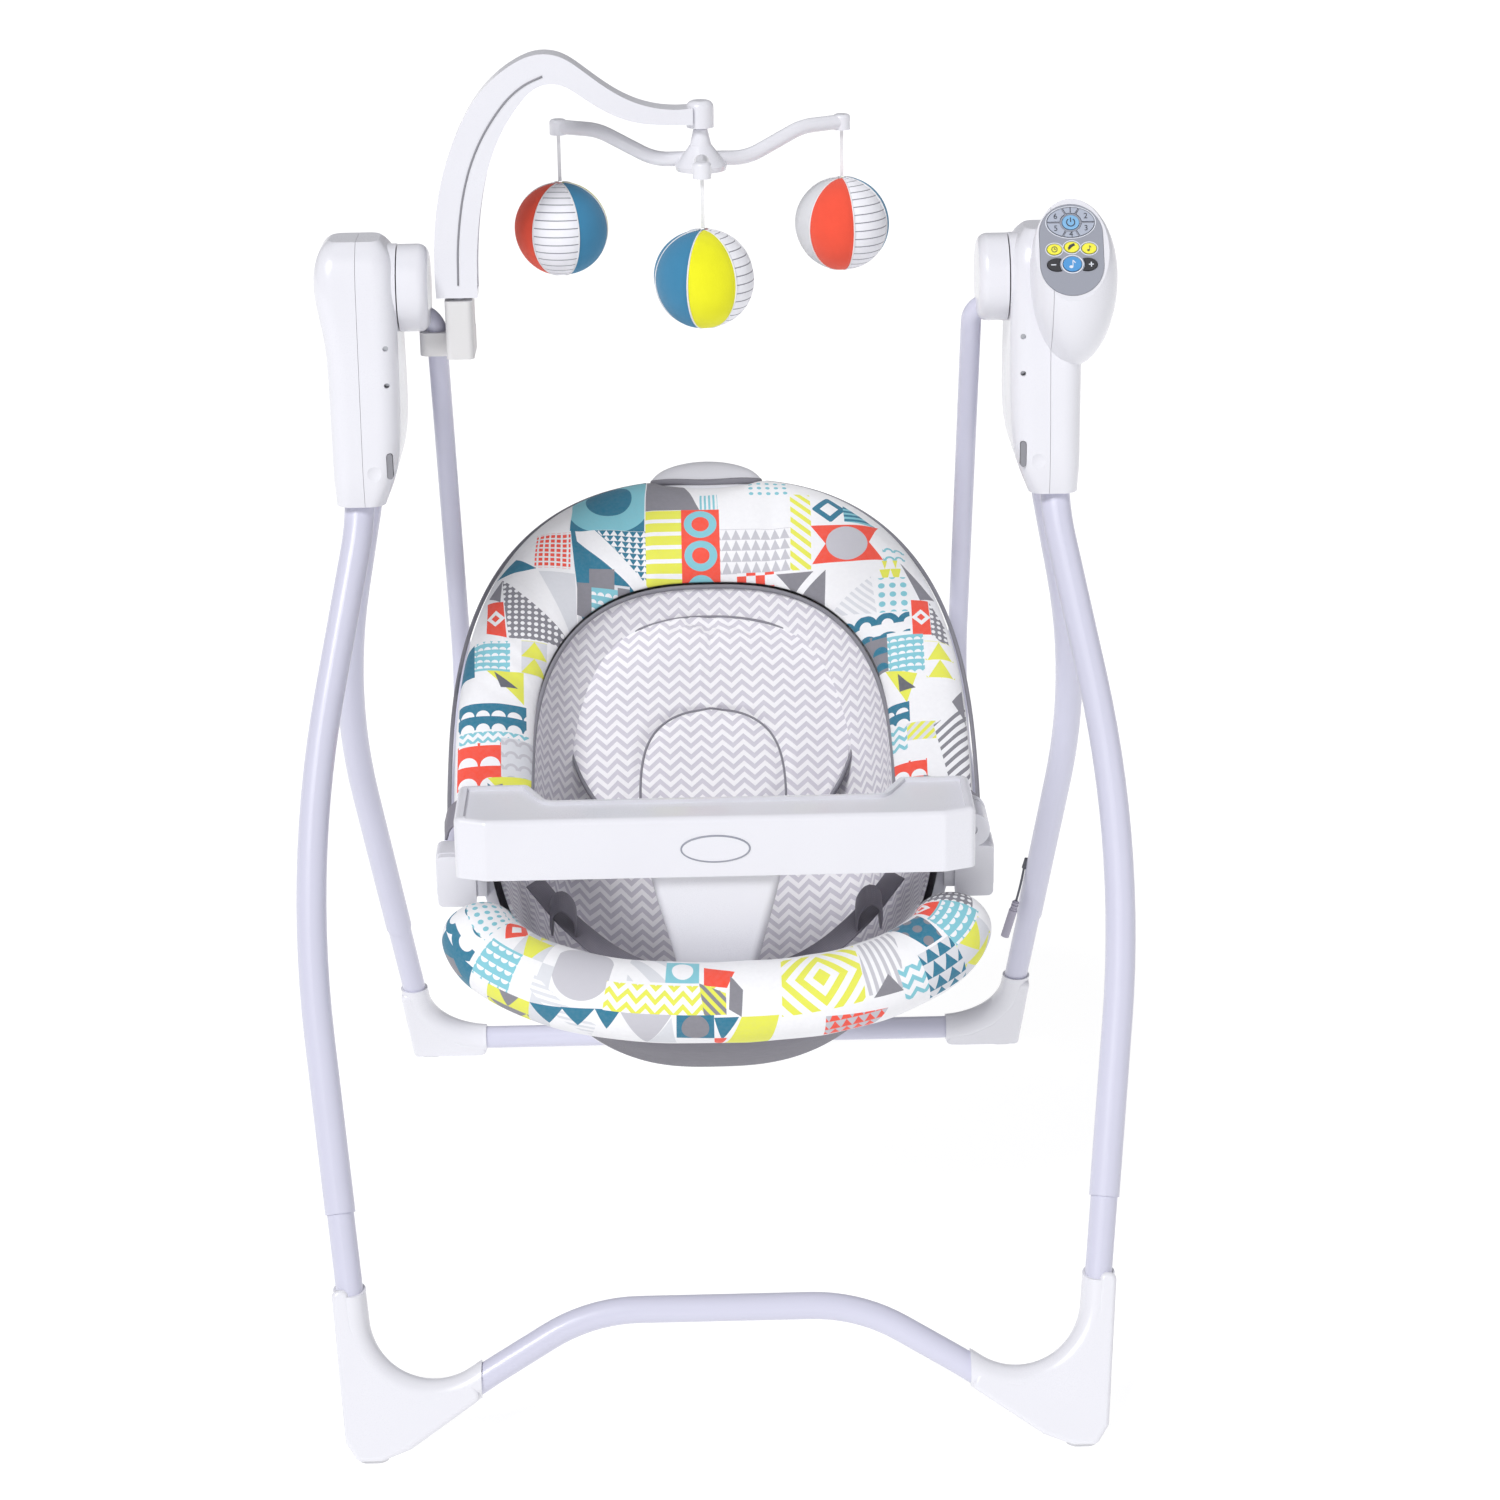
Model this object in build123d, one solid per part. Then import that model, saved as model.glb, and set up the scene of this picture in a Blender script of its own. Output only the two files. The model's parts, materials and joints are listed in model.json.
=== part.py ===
from build123d import *
import os
from math import copysign, cos, pi, radians, sin, tan

# Baby swing, millimetres. Z is up, the seat faces -Y, and the origin is on the floor under the middle
# of the footprint. The swing hangs on the X axis line at PIVOT_Z.

# Frame
LEG_OD = 25.4
LEG_WALL = 1.2
BASE_OD = 22.6
BASE_WALL = 1.2
PIVOT_Z = 898.0
HOUSING_X = 298.0
SEAM_X = 291.0
HUB_FACE_X = 257.4
HUB_INNER_X = 232.0
HUB_R = 37.0
AXLE_R = 6.0
RUN_GAP = 0.4
HOUSING_WALL = 2.8
FRONT_TOE = (-378.0, 40.0)
FRONT_TOP = (-38.0, 719.0)
REAR_TOE = (378.0, 40.0)
REAR_TOP = (45.0, 719.0)
FOLD_PIN = (22.0, 766.0)
FOLD_PIN_R = 4.0
JOINT_Z = 182.0
PAD_T = 4.0
FRONT_PAD_Y = -394.0
REAR_PAD_Y = 397.0

# Swing
ARM_OD = 17.5
ARM_WALL = 1.2
ARM_X = 229.0
SEAT_PIVOT = (-108.0, 410.0)

# Seat plane: the rim of the seat lies in it
SEAT_TILT = 34.0
SEAT_ORIGIN = (0.0, -15.0, 490.0)
SHELL_T = 3.5
COVER_T = 22.0
LINER_T = 5.5
SOFT_GAP = 0.4
RIM_POWER = 2.6

# Tray
TRAY_HINGE = (219.0, 456.0)
TRAY_Y = (-215.0, -124.5)
TRAY_Z = (441.0, 494.0)
TRAY_HALF = 218.0
TRAY_T = 2.8

# Mobile
MOBILE_X = -212.0
TIP_Z = 1013.3
SPIDER_R = 140.0
RIBBON_L = 40.3
RIBBON_R = 1.5
TOY_R = 41.0

# Control panel
PANEL_TILT = 32.0
PANEL_CENTRE = (307.0, -53.0, 931.0)
PANEL_W = 53.0
PANEL_H = 80.0
PANEL_T = 3.0
KEY_RISE = 1.2
KEY_DEPTH = 5.0

OUT = "parts"
os.makedirs(OUT, exist_ok=True)
YZ = Plane(origin=(0, 0, 0), x_dir=(0, 1, 0), z_dir=(1, 0, 0))
SEAT = Plane(
    origin=SEAT_ORIGIN,
    x_dir=(1, 0, 0),
    z_dir=(0, -sin(radians(SEAT_TILT)), cos(radians(SEAT_TILT))),
)
PANEL = Plane(
    origin=PANEL_CENTRE,
    x_dir=(1, 0, 0),
    z_dir=(0, -cos(radians(PANEL_TILT)), sin(radians(PANEL_TILT))),
)


def save(name, *solids):
    """Writes one node as its own STEP file."""
    shape = solids[0] if len(solids) == 1 else Compound(children=list(solids))
    export_step(shape, f"{OUT}/{name}.step")


def mirrored(shape):
    """The same piece on the other side of the swing."""
    return mirror(shape, about=Plane.YZ)


def box(x, y, z):
    """A box between three pairs of limits."""
    size = (x[1] - x[0], y[1] - y[0], z[1] - z[0])
    centre = ((x[0] + x[1]) / 2, (y[0] + y[1]) / 2, (z[0] + z[1]) / 2)
    return Pos(*centre) * Box(*size)


def main_solid(shape):
    """The one real piece, without any crumb that a cut left."""
    return shape.solids().sort_by(SortBy.VOLUME)[-1]


def rod(start, end, radius):
    """A round bar between two points."""
    axis = Vector(*end) - Vector(*start)
    plane = Plane(origin=start, z_dir=axis)
    return extrude(plane * Circle(radius), axis.length)


def bar(points, radii, radius):
    """A round bar along straight runs joined by tangent arcs."""
    path = FilletPolyline(*points, radius=radii)
    start = Plane(origin=path @ 0, z_dir=path % 0)
    return sweep(start * Circle(radius), path=path)


def tube(points, radii, outer, wall):
    """A round tube along straight runs joined by tangent arcs."""
    return bar(points, radii, outer / 2) - bar(points, radii, outer / 2 - wall)


def lean(toe, top, z):
    """Y of a leg at a height, on the straight line from its toe to its top."""
    return toe[0] + (top[0] - toe[0]) * (z - toe[1]) / (top[1] - toe[1])


def leg_points(toe, top, profile):
    """Turns (x, z) stations into points on a leg's sloping plane."""
    return [(x, lean(toe, top, z), z) for x, z in profile]


# ---------------------------------------------------------------- legs and feet
FRONT_LEG = [(HOUSING_X, 775), (297.5, 703), (351.9, 444.6), (319.6, JOINT_Z)]
REAR_LEG = [(HOUSING_X, 784), (297.0, 705), (345.0, 480), (315.8, JOINT_Z)]
LEG_RADII = [240, 1000]
FRONT_BASE = [
    (323.0, 210), (297.5, 3), (196, 62), (112, 106), (-112, 106), (-196, 62), (-297.5, 3), (-323.0, 210),
]
FRONT_BASE_RADII = [68, 300, 150, 150, 300, 68]
REAR_BASE = [(318.6, 210), (300.1, 22), (-300.1, 22), (-318.6, 210)]
REAR_BASE_RADII = [74, 74]


def leg(toe, top, profile):
    return tube(leg_points(toe, top, profile), LEG_RADII, LEG_OD, LEG_WALL)


def foot_web(toe, top, outline, thickness):
    """The web of a boot, which fills the outer corner of a base tube's bend in the plane of the legs."""
    along = Vector(0, top[0] - toe[0], top[1] - toe[1]).normalized()
    plane = Plane(origin=(0, toe[0], toe[1]), x_dir=(1, 0, 0), z_dir=Vector(1, 0, 0).cross(along))
    points = [(x, (z - toe[1]) / along.Z) for x, z in outline]
    face = make_face(Polyline(*points, close=True))
    web = extrude(plane * fillet(face.vertices(), 6), thickness / 2, both=True)
    rims = web.faces().filter_by(GeomType.PLANE).sort_by(SortBy.AREA)[-2:]
    return fillet([edge for rim in rims for edge in rim.edges()], 4)


def pad(x, y):
    """A rubber pad under a boot."""
    return Pos(x, y, 0) * extrude(SlotOverall(26, 18), PAD_T)


front_path = leg_points(FRONT_TOE, FRONT_TOP, FRONT_BASE)
rear_path = leg_points(REAR_TOE, REAR_TOP, REAR_BASE)
front_base = tube(front_path, FRONT_BASE_RADII, BASE_OD, BASE_WALL)
rear_base = tube(rear_path, REAR_BASE_RADII, BASE_OD, BASE_WALL)

# Each boot's web, from its top outer corner inward along the tube's middle and back along the floor side
FRONT_BOOT = [
    (327, 126), (313, 126), (309, 100), (298, 76), (273, 55), (242, 47), (209, 56), (203, 44), (262, 8), (286, 0),
    (306, 0), (316, 14),
]
REAR_BOOT = [
    (321, 96), (309, 96), (302, 66), (284, 40), (262, 26), (240, 23), (238, 9), (280, 3), (288, 0), (306, 0), (314, 10),
]
BOOT_WALL = 2.2
floor_cut = box((-500, 500), (-600, 600), (-100, PAD_T))


def boots(toe, top, outline, path, radii):
    """A boot on each side: a sleeve round the base tube's bend and the web outside it."""
    reach_x = min(x for x, _ in outline)
    reach_z = max(z for _, z in outline)
    sleeve = bar(path, radii, BASE_OD / 2 + BOOT_WALL) & box((reach_x, 400), (-600, 600), (0, reach_z))
    web = foot_web(toe, top, outline, BASE_OD + 2 * BOOT_WALL)
    right = main_solid(sleeve + web - bar(path, radii, BASE_OD / 2) - floor_cut)
    return right, mirrored(right)


front_feet = boots(FRONT_TOE, FRONT_TOP, FRONT_BOOT, front_path, FRONT_BASE_RADII)
rear_feet = boots(REAR_TOE, REAR_TOP, REAR_BOOT, rear_path, REAR_BASE_RADII)
front_leg = leg(FRONT_TOE, FRONT_TOP, FRONT_LEG)
pin_clearance = rod((SEAM_X - 26, *FOLD_PIN), (SEAM_X + 23, *FOLD_PIN), FOLD_PIN_R + 0.08)
rear_leg = leg(REAR_TOE, REAR_TOP, REAR_LEG) - pin_clearance
front_pads = [pad(side * 294, FRONT_PAD_Y) for side in (1, -1)]
rear_pads = [pad(side * 297, REAR_PAD_Y) for side in (1, -1)]
save("front_leg_right", front_leg)
save("front_leg_left", mirrored(front_leg))
save("rear_leg_right", rear_leg)
save("rear_leg_left", mirrored(rear_leg))
save("front_base_tube", front_base)
save("rear_base_tube", rear_base)
save("front_feet", *front_feet)
save("rear_feet", *rear_feet)
save("front_foot_pads", *front_pads)
save("rear_foot_pads", *rear_pads)


# ---------------------------------------------------------------- housings
# Each station: height, inner x, outer x, front y, rear y, corner radius
HOUSING_STATIONS = [
    (722, 274, 316, -58, 66, 13),
    (742, 266, 317, -61, 69, 15),
    (767, 260.5, 317.6, -60.5, 68, 17),
    (800, 258.8, 318, -57, 64, 17),
    (835, 258.4, 318.6, -53, 57, 17),
    (862, 258.4, 320.6, -50, 52, 17),
    (890, 258.6, 325.6, -46.5, 47, 17),
    (915, 259.4, 327, -42, 43, 17),
    (932, 264, 323, -33, 33, 14),
    (942, 272, 314, -20, 20, 10),
]


def loft_stations(stations, inset):
    """A smooth closed body through rounded rectangles, drawn in by an inset."""
    sections = []
    for z, x0, x1, y0, y1, corner in stations:
        plane = Plane(origin=((x0 + x1) / 2, (y0 + y1) / 2, z))
        width = x1 - x0 - 2 * inset
        depth = y1 - y0 - 2 * inset
        sections.append(plane * RectangleRounded(width, depth, max(corner - inset, 3)))
    return loft(sections)


def inner_stations():
    """The hollow leaves a floor at the bottom and a roof at the top."""
    low = (HOUSING_STATIONS[0][0] + 5,) + HOUSING_STATIONS[0][1:]
    high = (HOUSING_STATIONS[-1][0] - 3,) + HOUSING_STATIONS[-1][1:]
    return [low] + HOUSING_STATIONS[1:-1] + [high]


# Each ellipse of the head: distance behind the panel's plane, x, drop along the panel, half sizes
HEAD_WALL = 5.6
HEAD_OVALS = [(0, 307.5, 0, 31, 45), (12, 309.5, 6, 35.5, 53), (45, 310, 24, 36, 56), (84, 306, 36, 24, 32)]


def head(inset):
    """The bulging head of the right housing, which carries the control panel and the motor."""
    sections = []
    for depth, x, drop, half_x, half_y in HEAD_OVALS:
        back = depth
        if inset and depth == 0:
            back = HEAD_WALL
        if inset and depth > 80:
            back = depth - inset
        origin = PANEL.from_local_coords((x - PANEL_CENTRE[0], -drop, -back))
        plane = Plane(origin=origin, x_dir=(1, 0, 0), z_dir=PANEL.z_dir)
        sections.append(plane * Ellipse(half_x - inset, half_y - inset))
    return loft(sections)


def panel_outline(grow):
    """The control panel's rounded oval, grown or drawn in all round."""
    return SlotOverall(PANEL_H + 2 * grow, PANEL_W + 2 * grow, rotation=90)


body_out = loft_stations(HOUSING_STATIONS, 0)
body_in = loft_stations(inner_stations(), HOUSING_WALL)
neck = rod((HUB_FACE_X + 1.0, 0, PIVOT_Z), (SEAM_X, 0, PIVOT_Z), HUB_R + 0.5)
neck_in = rod((HUB_FACE_X + 4.0, 0, PIVOT_Z), (SEAM_X + 6, 0, PIVOT_Z), HUB_R - 2.5)
axle_boss = rod((HUB_FACE_X + 1.0, 0, PIVOT_Z), (HUB_FACE_X + 12, 0, PIVOT_Z), AXLE_R + 4)
axle_hole = rod((HUB_FACE_X - 1, 0, PIVOT_Z), (HUB_FACE_X + 14, 0, PIVOT_Z), AXLE_R + RUN_GAP)
leg_hole = bar(leg_points(FRONT_TOE, FRONT_TOP, FRONT_LEG), LEG_RADII, LEG_OD / 2)
fold_slot = box((HOUSING_X - 14.5, HOUSING_X + 14.5), (-15.5, 63), (700, 729))
fold_pin = rod((SEAM_X - 26, *FOLD_PIN), (SEAM_X + 23, *FOLD_PIN), FOLD_PIN_R)
fold_hole = rod((SEAM_X - 26, *FOLD_PIN), (SEAM_X + 23, *FOLD_PIN), FOLD_PIN_R)
fold_button = fillet(box((266.0, 270.6), (-58.8, -46), (746.5, 768.5)).edges().filter_by(Axis.Y), 2.2)
button_hole = fillet(box((265.6, 271.0), (-70, -42.4), (746.1, 768.9)).edges().filter_by(Axis.Y), 2.5)
screw_holes = [rod((268.0, -70, z), (268.0, -40, z), 2.3) for z in (826.0, 857.0)]
screws = [rod((268.0, -47, z), (268.0, -40, z), 2.2) for z in (826.0, 857.0)]
dimple = Pos(281.0, -73.6, 752.0) * Sphere(14.0)
panel_seat = extrude(PANEL.offset(2.0) * panel_outline(0.3), -PANEL_T - 2.0)
panel_mouth = extrude(PANEL.offset(2.0) * panel_outline(-2.2), -12.0)
head_out = head(0)
head_in = head(HOUSING_WALL)
cuts = [axle_hole, leg_hole, fold_slot, fold_hole, button_hole, dimple, *screw_holes]


def housing(outer, hollow, extra_cuts):
    """A housing and its two half shells, outer half first."""
    shape = outer - hollow + axle_boss
    for cut in cuts + extra_cuts:
        shape -= cut
    far = shape & box((SEAM_X + 0.15, 400), (-150, 150), (650, 1050))
    near = shape & box((200, SEAM_X - 0.15), (-150, 150), (650, 1050))
    return far, near


left_outer, left_inner = housing(body_out + neck, body_in + neck_in, [])
right_outer, right_inner = housing(
    body_out + neck + head_out, body_in + neck_in + head_in, [panel_seat, panel_mouth]
)
save("housing_left_outer", mirrored(main_solid(left_outer)))
save("housing_left_inner", mirrored(main_solid(left_inner)))
save("housing_right_outer", main_solid(right_outer))
save("housing_right_inner", main_solid(right_inner))
save("fold_button_right", fold_button)
save("fold_button_left", mirrored(fold_button))
bolts = [fold_pin, *screws]
save("frame_bolts", *bolts, *[mirrored(bolt) for bolt in bolts])


# ---------------------------------------------------------------- control panel
RING = (0.0, 23.8)
KEY_GAP = 0.8
KEY_HOLE_GAP = 0.4
SPEED_KEYS = {f"speed_key_{n + 1}": 90 - 60 * n for n in range(6)}
VOLUME_KEYS = {"volume_down_key": -1, "volume_up_key": 1}
ROUND_KEYS = {
    "power_key": (*RING, 7.8, 7.0),
    "timer_key": (-14.5, 0.2, 6.8, 5.3),
    "nature_key": (0.0, 2.0, 6.8, 5.3),
    "melody_key": (14.5, 0.7, 6.8, 5.3),
    "music_key": (0.0, -12.8, 8.4, 7.2),
}


def key_ellipse(x, y, half_x, half_y):
    return Pos(x, y) * Ellipse(half_x, half_y)


def speed_cell(angle, gap):
    """One of the six sectors round the power key, drawn in by a gap."""
    ring = key_ellipse(*RING, 20.4 - gap, 13.6 - gap) - key_ellipse(*RING, 8.4 + gap, 7.6 + gap)
    apex = Vector(*RING) + Vector(2 * gap, 0).rotate(Axis.Z, angle)
    rays = [apex + Vector(60, 0).rotate(Axis.Z, angle + turn) for turn in (-30, 0, 30)]
    wedge = make_face(Polyline(apex, *rays, close=True))
    return ring & wedge


def volume_cell(side, gap):
    """A rounded key beside the music key, cut away by the music key's ring."""
    cell = key_ellipse(side * 12.6, -13.2, 9.2 - gap, 6.4 - gap)
    cell -= key_ellipse(0, -12.8, 10.0 + gap, 8.7 + gap)
    outward = Pos(side * (36.6 + gap), -13) * Rectangle(60, 40)
    return cell & outward


def key_outline(name, gap):
    """A key's outline on the panel, drawn in all round by a gap."""
    if name in SPEED_KEYS:
        return speed_cell(SPEED_KEYS[name], gap)
    if name in VOLUME_KEYS:
        return volume_cell(VOLUME_KEYS[name], gap)
    x, y, half_x, half_y = ROUND_KEYS[name]
    return key_ellipse(x, y, half_x - gap, half_y - gap)


panel = extrude(PANEL.offset(-PANEL_T) * panel_outline(0), PANEL_T + 0.4)
for name in [*SPEED_KEYS, *VOLUME_KEYS, *ROUND_KEYS]:
    panel -= extrude(PANEL.offset(2.0) * key_outline(name, KEY_HOLE_GAP), -8.0)
    key = extrude(PANEL.offset(-KEY_DEPTH) * key_outline(name, KEY_GAP), KEY_DEPTH + KEY_RISE)
    save(name, main_solid(key))
save("control_panel", panel)
board = PANEL.offset(-14.0) * Box(34, 52, 1.6)
motor = rod((300, -14, 874), (325, -14, 874), 12) + rod((325, -14, 874), (329, -14, 874), 5)
save("circuit_board", board)
save("drive_motor", motor)


# ---------------------------------------------------------------- power lead
GROMMET_TOP = (311.0, 280.5, 250.5)
LEAD_ROUTE = [(307.2, 281.0, 241.0), (304.6, 282.5, 222.8), (300.2, 284.0, 205.0)]
LEAD_END = (289.6, 286.8, 166.0)
LEAD_R = 1.2


def corner_radii(points):
    """Arc radius at each corner: 0.45 of the shorter run, over the tangent of half the turn."""
    radii = []
    for before, here, after in zip(points, points[1:], points[2:]):
        run_in = Vector(*here) - Vector(*before)
        run_out = Vector(*after) - Vector(*here)
        shorter = min(run_in.length, run_out.length)
        radii.append(0.45 * shorter / tan(radians(run_in.get_angle(run_out)) / 2))
    return radii


def taper(start, end, first, last):
    """A round piece whose radius changes along its length."""
    axis = Vector(*end) - Vector(*start)
    near = Plane(origin=start, z_dir=axis)
    return loft([near * Circle(first), near.offset(axis.length) * Circle(last)])


def along(start, end, share):
    """A point part of the way between two others."""
    return tuple(a + (b - a) * share for a, b in zip(start, end))


lead_radii = corner_radii(LEAD_ROUTE)
lead = bar(LEAD_ROUTE, lead_radii, LEAD_R)
print("power lead radii", [round(r, 1) for r in lead_radii], "volume", round(lead.volume, 1))
grommet = taper(GROMMET_TOP, LEAD_ROUTE[0], 3.6, 2.4)
ribs_end = along(LEAD_ROUTE[-1], LEAD_END, 0.26)
socket = rod(ribs_end, LEAD_END, 4.2) + taper(LEAD_ROUTE[-1], ribs_end, 2.2, 3.4)
for share in (0.04, 0.12, 0.2):
    start = along(LEAD_ROUTE[-1], LEAD_END, share)
    socket += rod(start, along(LEAD_ROUTE[-1], LEAD_END, share + 0.04), 3.6)
socket -= rod(along(LEAD_END, LEAD_ROUTE[-1], 0.3), along(LEAD_END, LEAD_ROUTE[-1], -0.1), 2.7)
save("power_lead", lead)
save("lead_grommet", grommet - bar(leg_points(REAR_TOE, REAR_TOP, REAR_LEG), LEG_RADII, LEG_OD / 2))
save("lead_socket", socket)


# ---------------------------------------------------------------- hubs, axles and swing arms
ARM_ROUTE = [(252.0, 8.0, 874.0), (ARM_X, 8.0, 874.0), (ARM_X, 172.0, 455.0), (ARM_X, -100.0, 409.0)]
ARM_RADII = [18, 75]
arm_bar = bar(ARM_ROUTE, ARM_RADII, ARM_OD / 2)
arm = arm_bar - bar(ARM_ROUTE, ARM_RADII, ARM_OD / 2 - ARM_WALL)
hub = rod((HUB_INNER_X, 0, PIVOT_Z), (HUB_FACE_X, 0, PIVOT_Z), HUB_R)
hub = fillet(hub.edges().sort_by(Axis.X)[0], 9)
hub -= rod((HUB_INNER_X + 14, 0, PIVOT_Z), (HUB_FACE_X + 1, 0, PIVOT_Z), HUB_R - 3)
hub += rod((HUB_INNER_X + 12, 0, PIVOT_Z), (HUB_FACE_X, 0, PIVOT_Z), AXLE_R + 4)
axle = rod((HUB_INNER_X + 6, 0, PIVOT_Z), (286.0, 0, PIVOT_Z), AXLE_R)
hub = hub - axle - arm_bar
crank = rod((275.0, 0, PIVOT_Z), (281.0, 0, PIVOT_Z), 20) + rod((281.0, 12, PIVOT_Z), (287.0, 12, PIVOT_Z), 3)
drive_axle = axle + crank
save("hub_right", hub)
save("hub_left", mirrored(hub))
save("pivot_axles", mirrored(axle), drive_axle)
save("swing_arm_right", arm)
save("swing_arm_left", mirrored(arm))

bracket = box((219.0, 241.0), (-127.0, -91.0), (388.0, 431.0))
bracket = fillet(bracket.edges(), 5)
bracket += rod((201.0, *SEAT_PIVOT), (222.0, *SEAT_PIVOT), 6)
bracket -= arm_bar
save("seat_brackets", bracket, mirrored(bracket))

jaw = fillet(box((196.0, 243.0), (0.0, 38.0), (838.0, 858.0)).edges().filter_by(Axis.Z), 7)
post = fillet(box((196.0, 219.4), (-14.0, 30.0), (838.0, 888.0)).edges().filter_by(Axis.Z), 5)
clamp = mirrored(jaw + post) - mirrored(arm_bar) - rod((MOBILE_X + 4, 0, 870), (MOBILE_X + 4, 0, 890), 5.3)
save("mobile_clamp", clamp)


# ---------------------------------------------------------------- seat shell and soft parts
STEPS = 28
SEAT_MIDDLE = -40.0
# Each station of the tub: depth under the rim, half width, upper end, lower end, where it is widest
TUB_STATIONS = [
    (0, 203, 292, -296, -40), (50, 186, 206, -288, -60), (105, 160, 62, -268, -90), (150, 122, -62, -240, -145),
    (168, 78, -112, -212, -160),
]


def rim(half_width, upper, lower, middle, shrink=0.0):
    """A closed egg outline in the seat's plane."""
    points = []
    for step in range(STEPS):
        angle = 2 * pi * step / STEPS
        across = copysign(abs(cos(angle)) ** (2 / RIM_POWER), cos(angle))
        up = copysign(abs(sin(angle)) ** (2 / RIM_POWER), sin(angle))
        reach = upper - middle if up >= 0 else middle - lower
        points.append(((half_width - shrink) * across, middle + (reach - shrink) * up))
    return make_face(Spline(*points, periodic=True))


def tub(shrink):
    """The bucket of the seat, drawn in all round by a shrink."""
    sections = []
    for depth, half_width, upper, lower, middle in TUB_STATIONS:
        lift = 3.0 if depth == 0 and shrink else 0.0
        raised = shrink if depth > 160 else 0.0
        plane = SEAT.offset(-depth + lift + raised)
        sections.append(plane * rim(half_width, upper, lower, middle, shrink))
    return loft(sections)


def flange_rim(grow):
    """The outline of the shell's flat rim."""
    return rim(209, 297, -299, SEAT_MIDDLE, -grow)


tub_outer = tub(0)
tub_inner = tub(SHELL_T)
flange = extrude(SEAT.offset(-SHELL_T) * flange_rim(0), SHELL_T)
handle = extrude(SEAT.offset(-12) * Pos(0, 285) * RectangleRounded(104, 78, 36), 12)
handle = fillet(handle.edges(), 5)
shell = tub_outer + flange + handle - tub_inner
for side in (1, -1):
    boss = rod((side * 188, *SEAT_PIVOT), (side * 214, *SEAT_PIVOT), 13)
    shell += boss - tub_inner
    shell -= rod((side * 200, *SEAT_PIVOT), (side * 216, *SEAT_PIVOT), 6.4)
save("seat_shell", main_solid(shell))

below_rim = extrude(SEAT.offset(-300) * Rectangle(600, 800), 300)
liner = (tub(SHELL_T + SOFT_GAP) & below_rim) - tub(SHELL_T + SOFT_GAP + LINER_T)
save("seat_liner", main_solid(liner))

band = rim(231, 298, -302, SEAT_MIDDLE) - rim(159, 188, -330, SEAT_MIDDLE)
band &= Pos(0, 120) * Rectangle(600, 400)
pad_body = extrude(band, COVER_T)
pad_body = fillet(pad_body.edges().group_by(Axis.Z)[-1], 7)
save("seat_cover", SEAT.offset(SOFT_GAP).location * pad_body)

ROLL = [(-207, -178), (-195, -227), (-112, -269), (0, -278), (112, -269), (195, -227), (207, -178)]
ROLL_R = 33.0
ROLL_LIFT = 5.0
roll_points = [SEAT.from_local_coords((x, y, ROLL_LIFT)) for x, y in ROLL]
bolster = bar([tuple(p) for p in roll_points], [40, 70, 300, 70, 40], ROLL_R)
bolster -= tub(-SOFT_GAP) + extrude(SEAT.offset(-SHELL_T - SOFT_GAP) * flange_rim(SOFT_GAP), SHELL_T + 2 * SOFT_GAP)
save("front_bolster", main_solid(bolster))

# The infant support lies on the back of the tub
BACK_SLOPE = 21.8
BACK = Plane(
    origin=tuple(SEAT.from_local_coords((0, 40, -84))),
    x_dir=(1, 0, 0),
    z_dir=SEAT.z_dir.rotate(Axis.X, BACK_SLOPE),
)
support = extrude(BACK * Pos(0, -9) * Ellipse(131, 150), 30)
support = fillet(support.edges(), 12)
save("infant_support", support)


def strap(side):
    """A flat webbing strap from the crotch out to the side of the seat."""
    route = [(26, -150, 322), (80, -140, 334), (128, -118, 366), (158, -98, 398)]
    path = FilletPolyline(*[(side * x, y, z) for x, y, z in route], radius=[60, 60])
    start = Plane(origin=path @ 0, x_dir=(0, 0.83, 0.56), z_dir=path % 0)
    return sweep(start * Rectangle(34, 2.2), path=path)


save("waist_straps", strap(1), strap(-1))


# ---------------------------------------------------------------- tray and its mounts
def tray_plan(shrink):
    """The tray from above: a bar across the front with two short arms back along the sides."""
    y0, y1 = TRAY_Y
    middle = y0 + 52
    points = [
        (-TRAY_HALF, y0 + 10), (-TRAY_HALF + 26, y0), (TRAY_HALF - 26, y0), (TRAY_HALF, y0 + 10),
        (TRAY_HALF, y1), (158, y1), (140, middle), (-140, middle), (-158, y1), (-TRAY_HALF, y1),
    ]
    face = fillet(make_face(Polyline(*points, close=True)).vertices(), 7)
    return offset(face, -shrink) if shrink else face


low, high = TRAY_Z
tray = extrude(Pos(0, 0, low) * tray_plan(0), high - low)
tray = fillet(tray.faces().sort_by(Axis.Z)[-1].edges(), 5)
tray -= extrude(Pos(0, 0, high - 3) * tray_plan(8), 10)
tray -= extrude(Pos(0, 0, low - 1) * tray_plan(TRAY_T), high - low - 5)
hinge_x, hinge_z = TRAY_HINGE
knuckle = rod((hinge_x, -160, hinge_z), (hinge_x, -124.5, hinge_z), 15)
pin_hole = rod((hinge_x, -165, hinge_z), (hinge_x, -100, hinge_z), 4.3)
tray = tray + knuckle - pin_hole
save("tray", main_solid(tray))

crotch_post = loft([
    Plane(origin=(0, y, z)) * RectangleRounded(width, depth, 9)
    for z, y, width, depth in ((488, -188, 118, 38), (441, -188, 112, 36), (395, -189, 90, 32), (350, -190, 68, 27), (296, -190, 50, 24))
])
crotch_post = crotch_post & box((-100, 100), (-300, -100), (290, 488.5))
save("crotch_post", crotch_post - tray)

SIDE_BLOCK = [(-149, 400.5), (-149, 440.7), (-112, 440.7), (-112, 426)]


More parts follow.
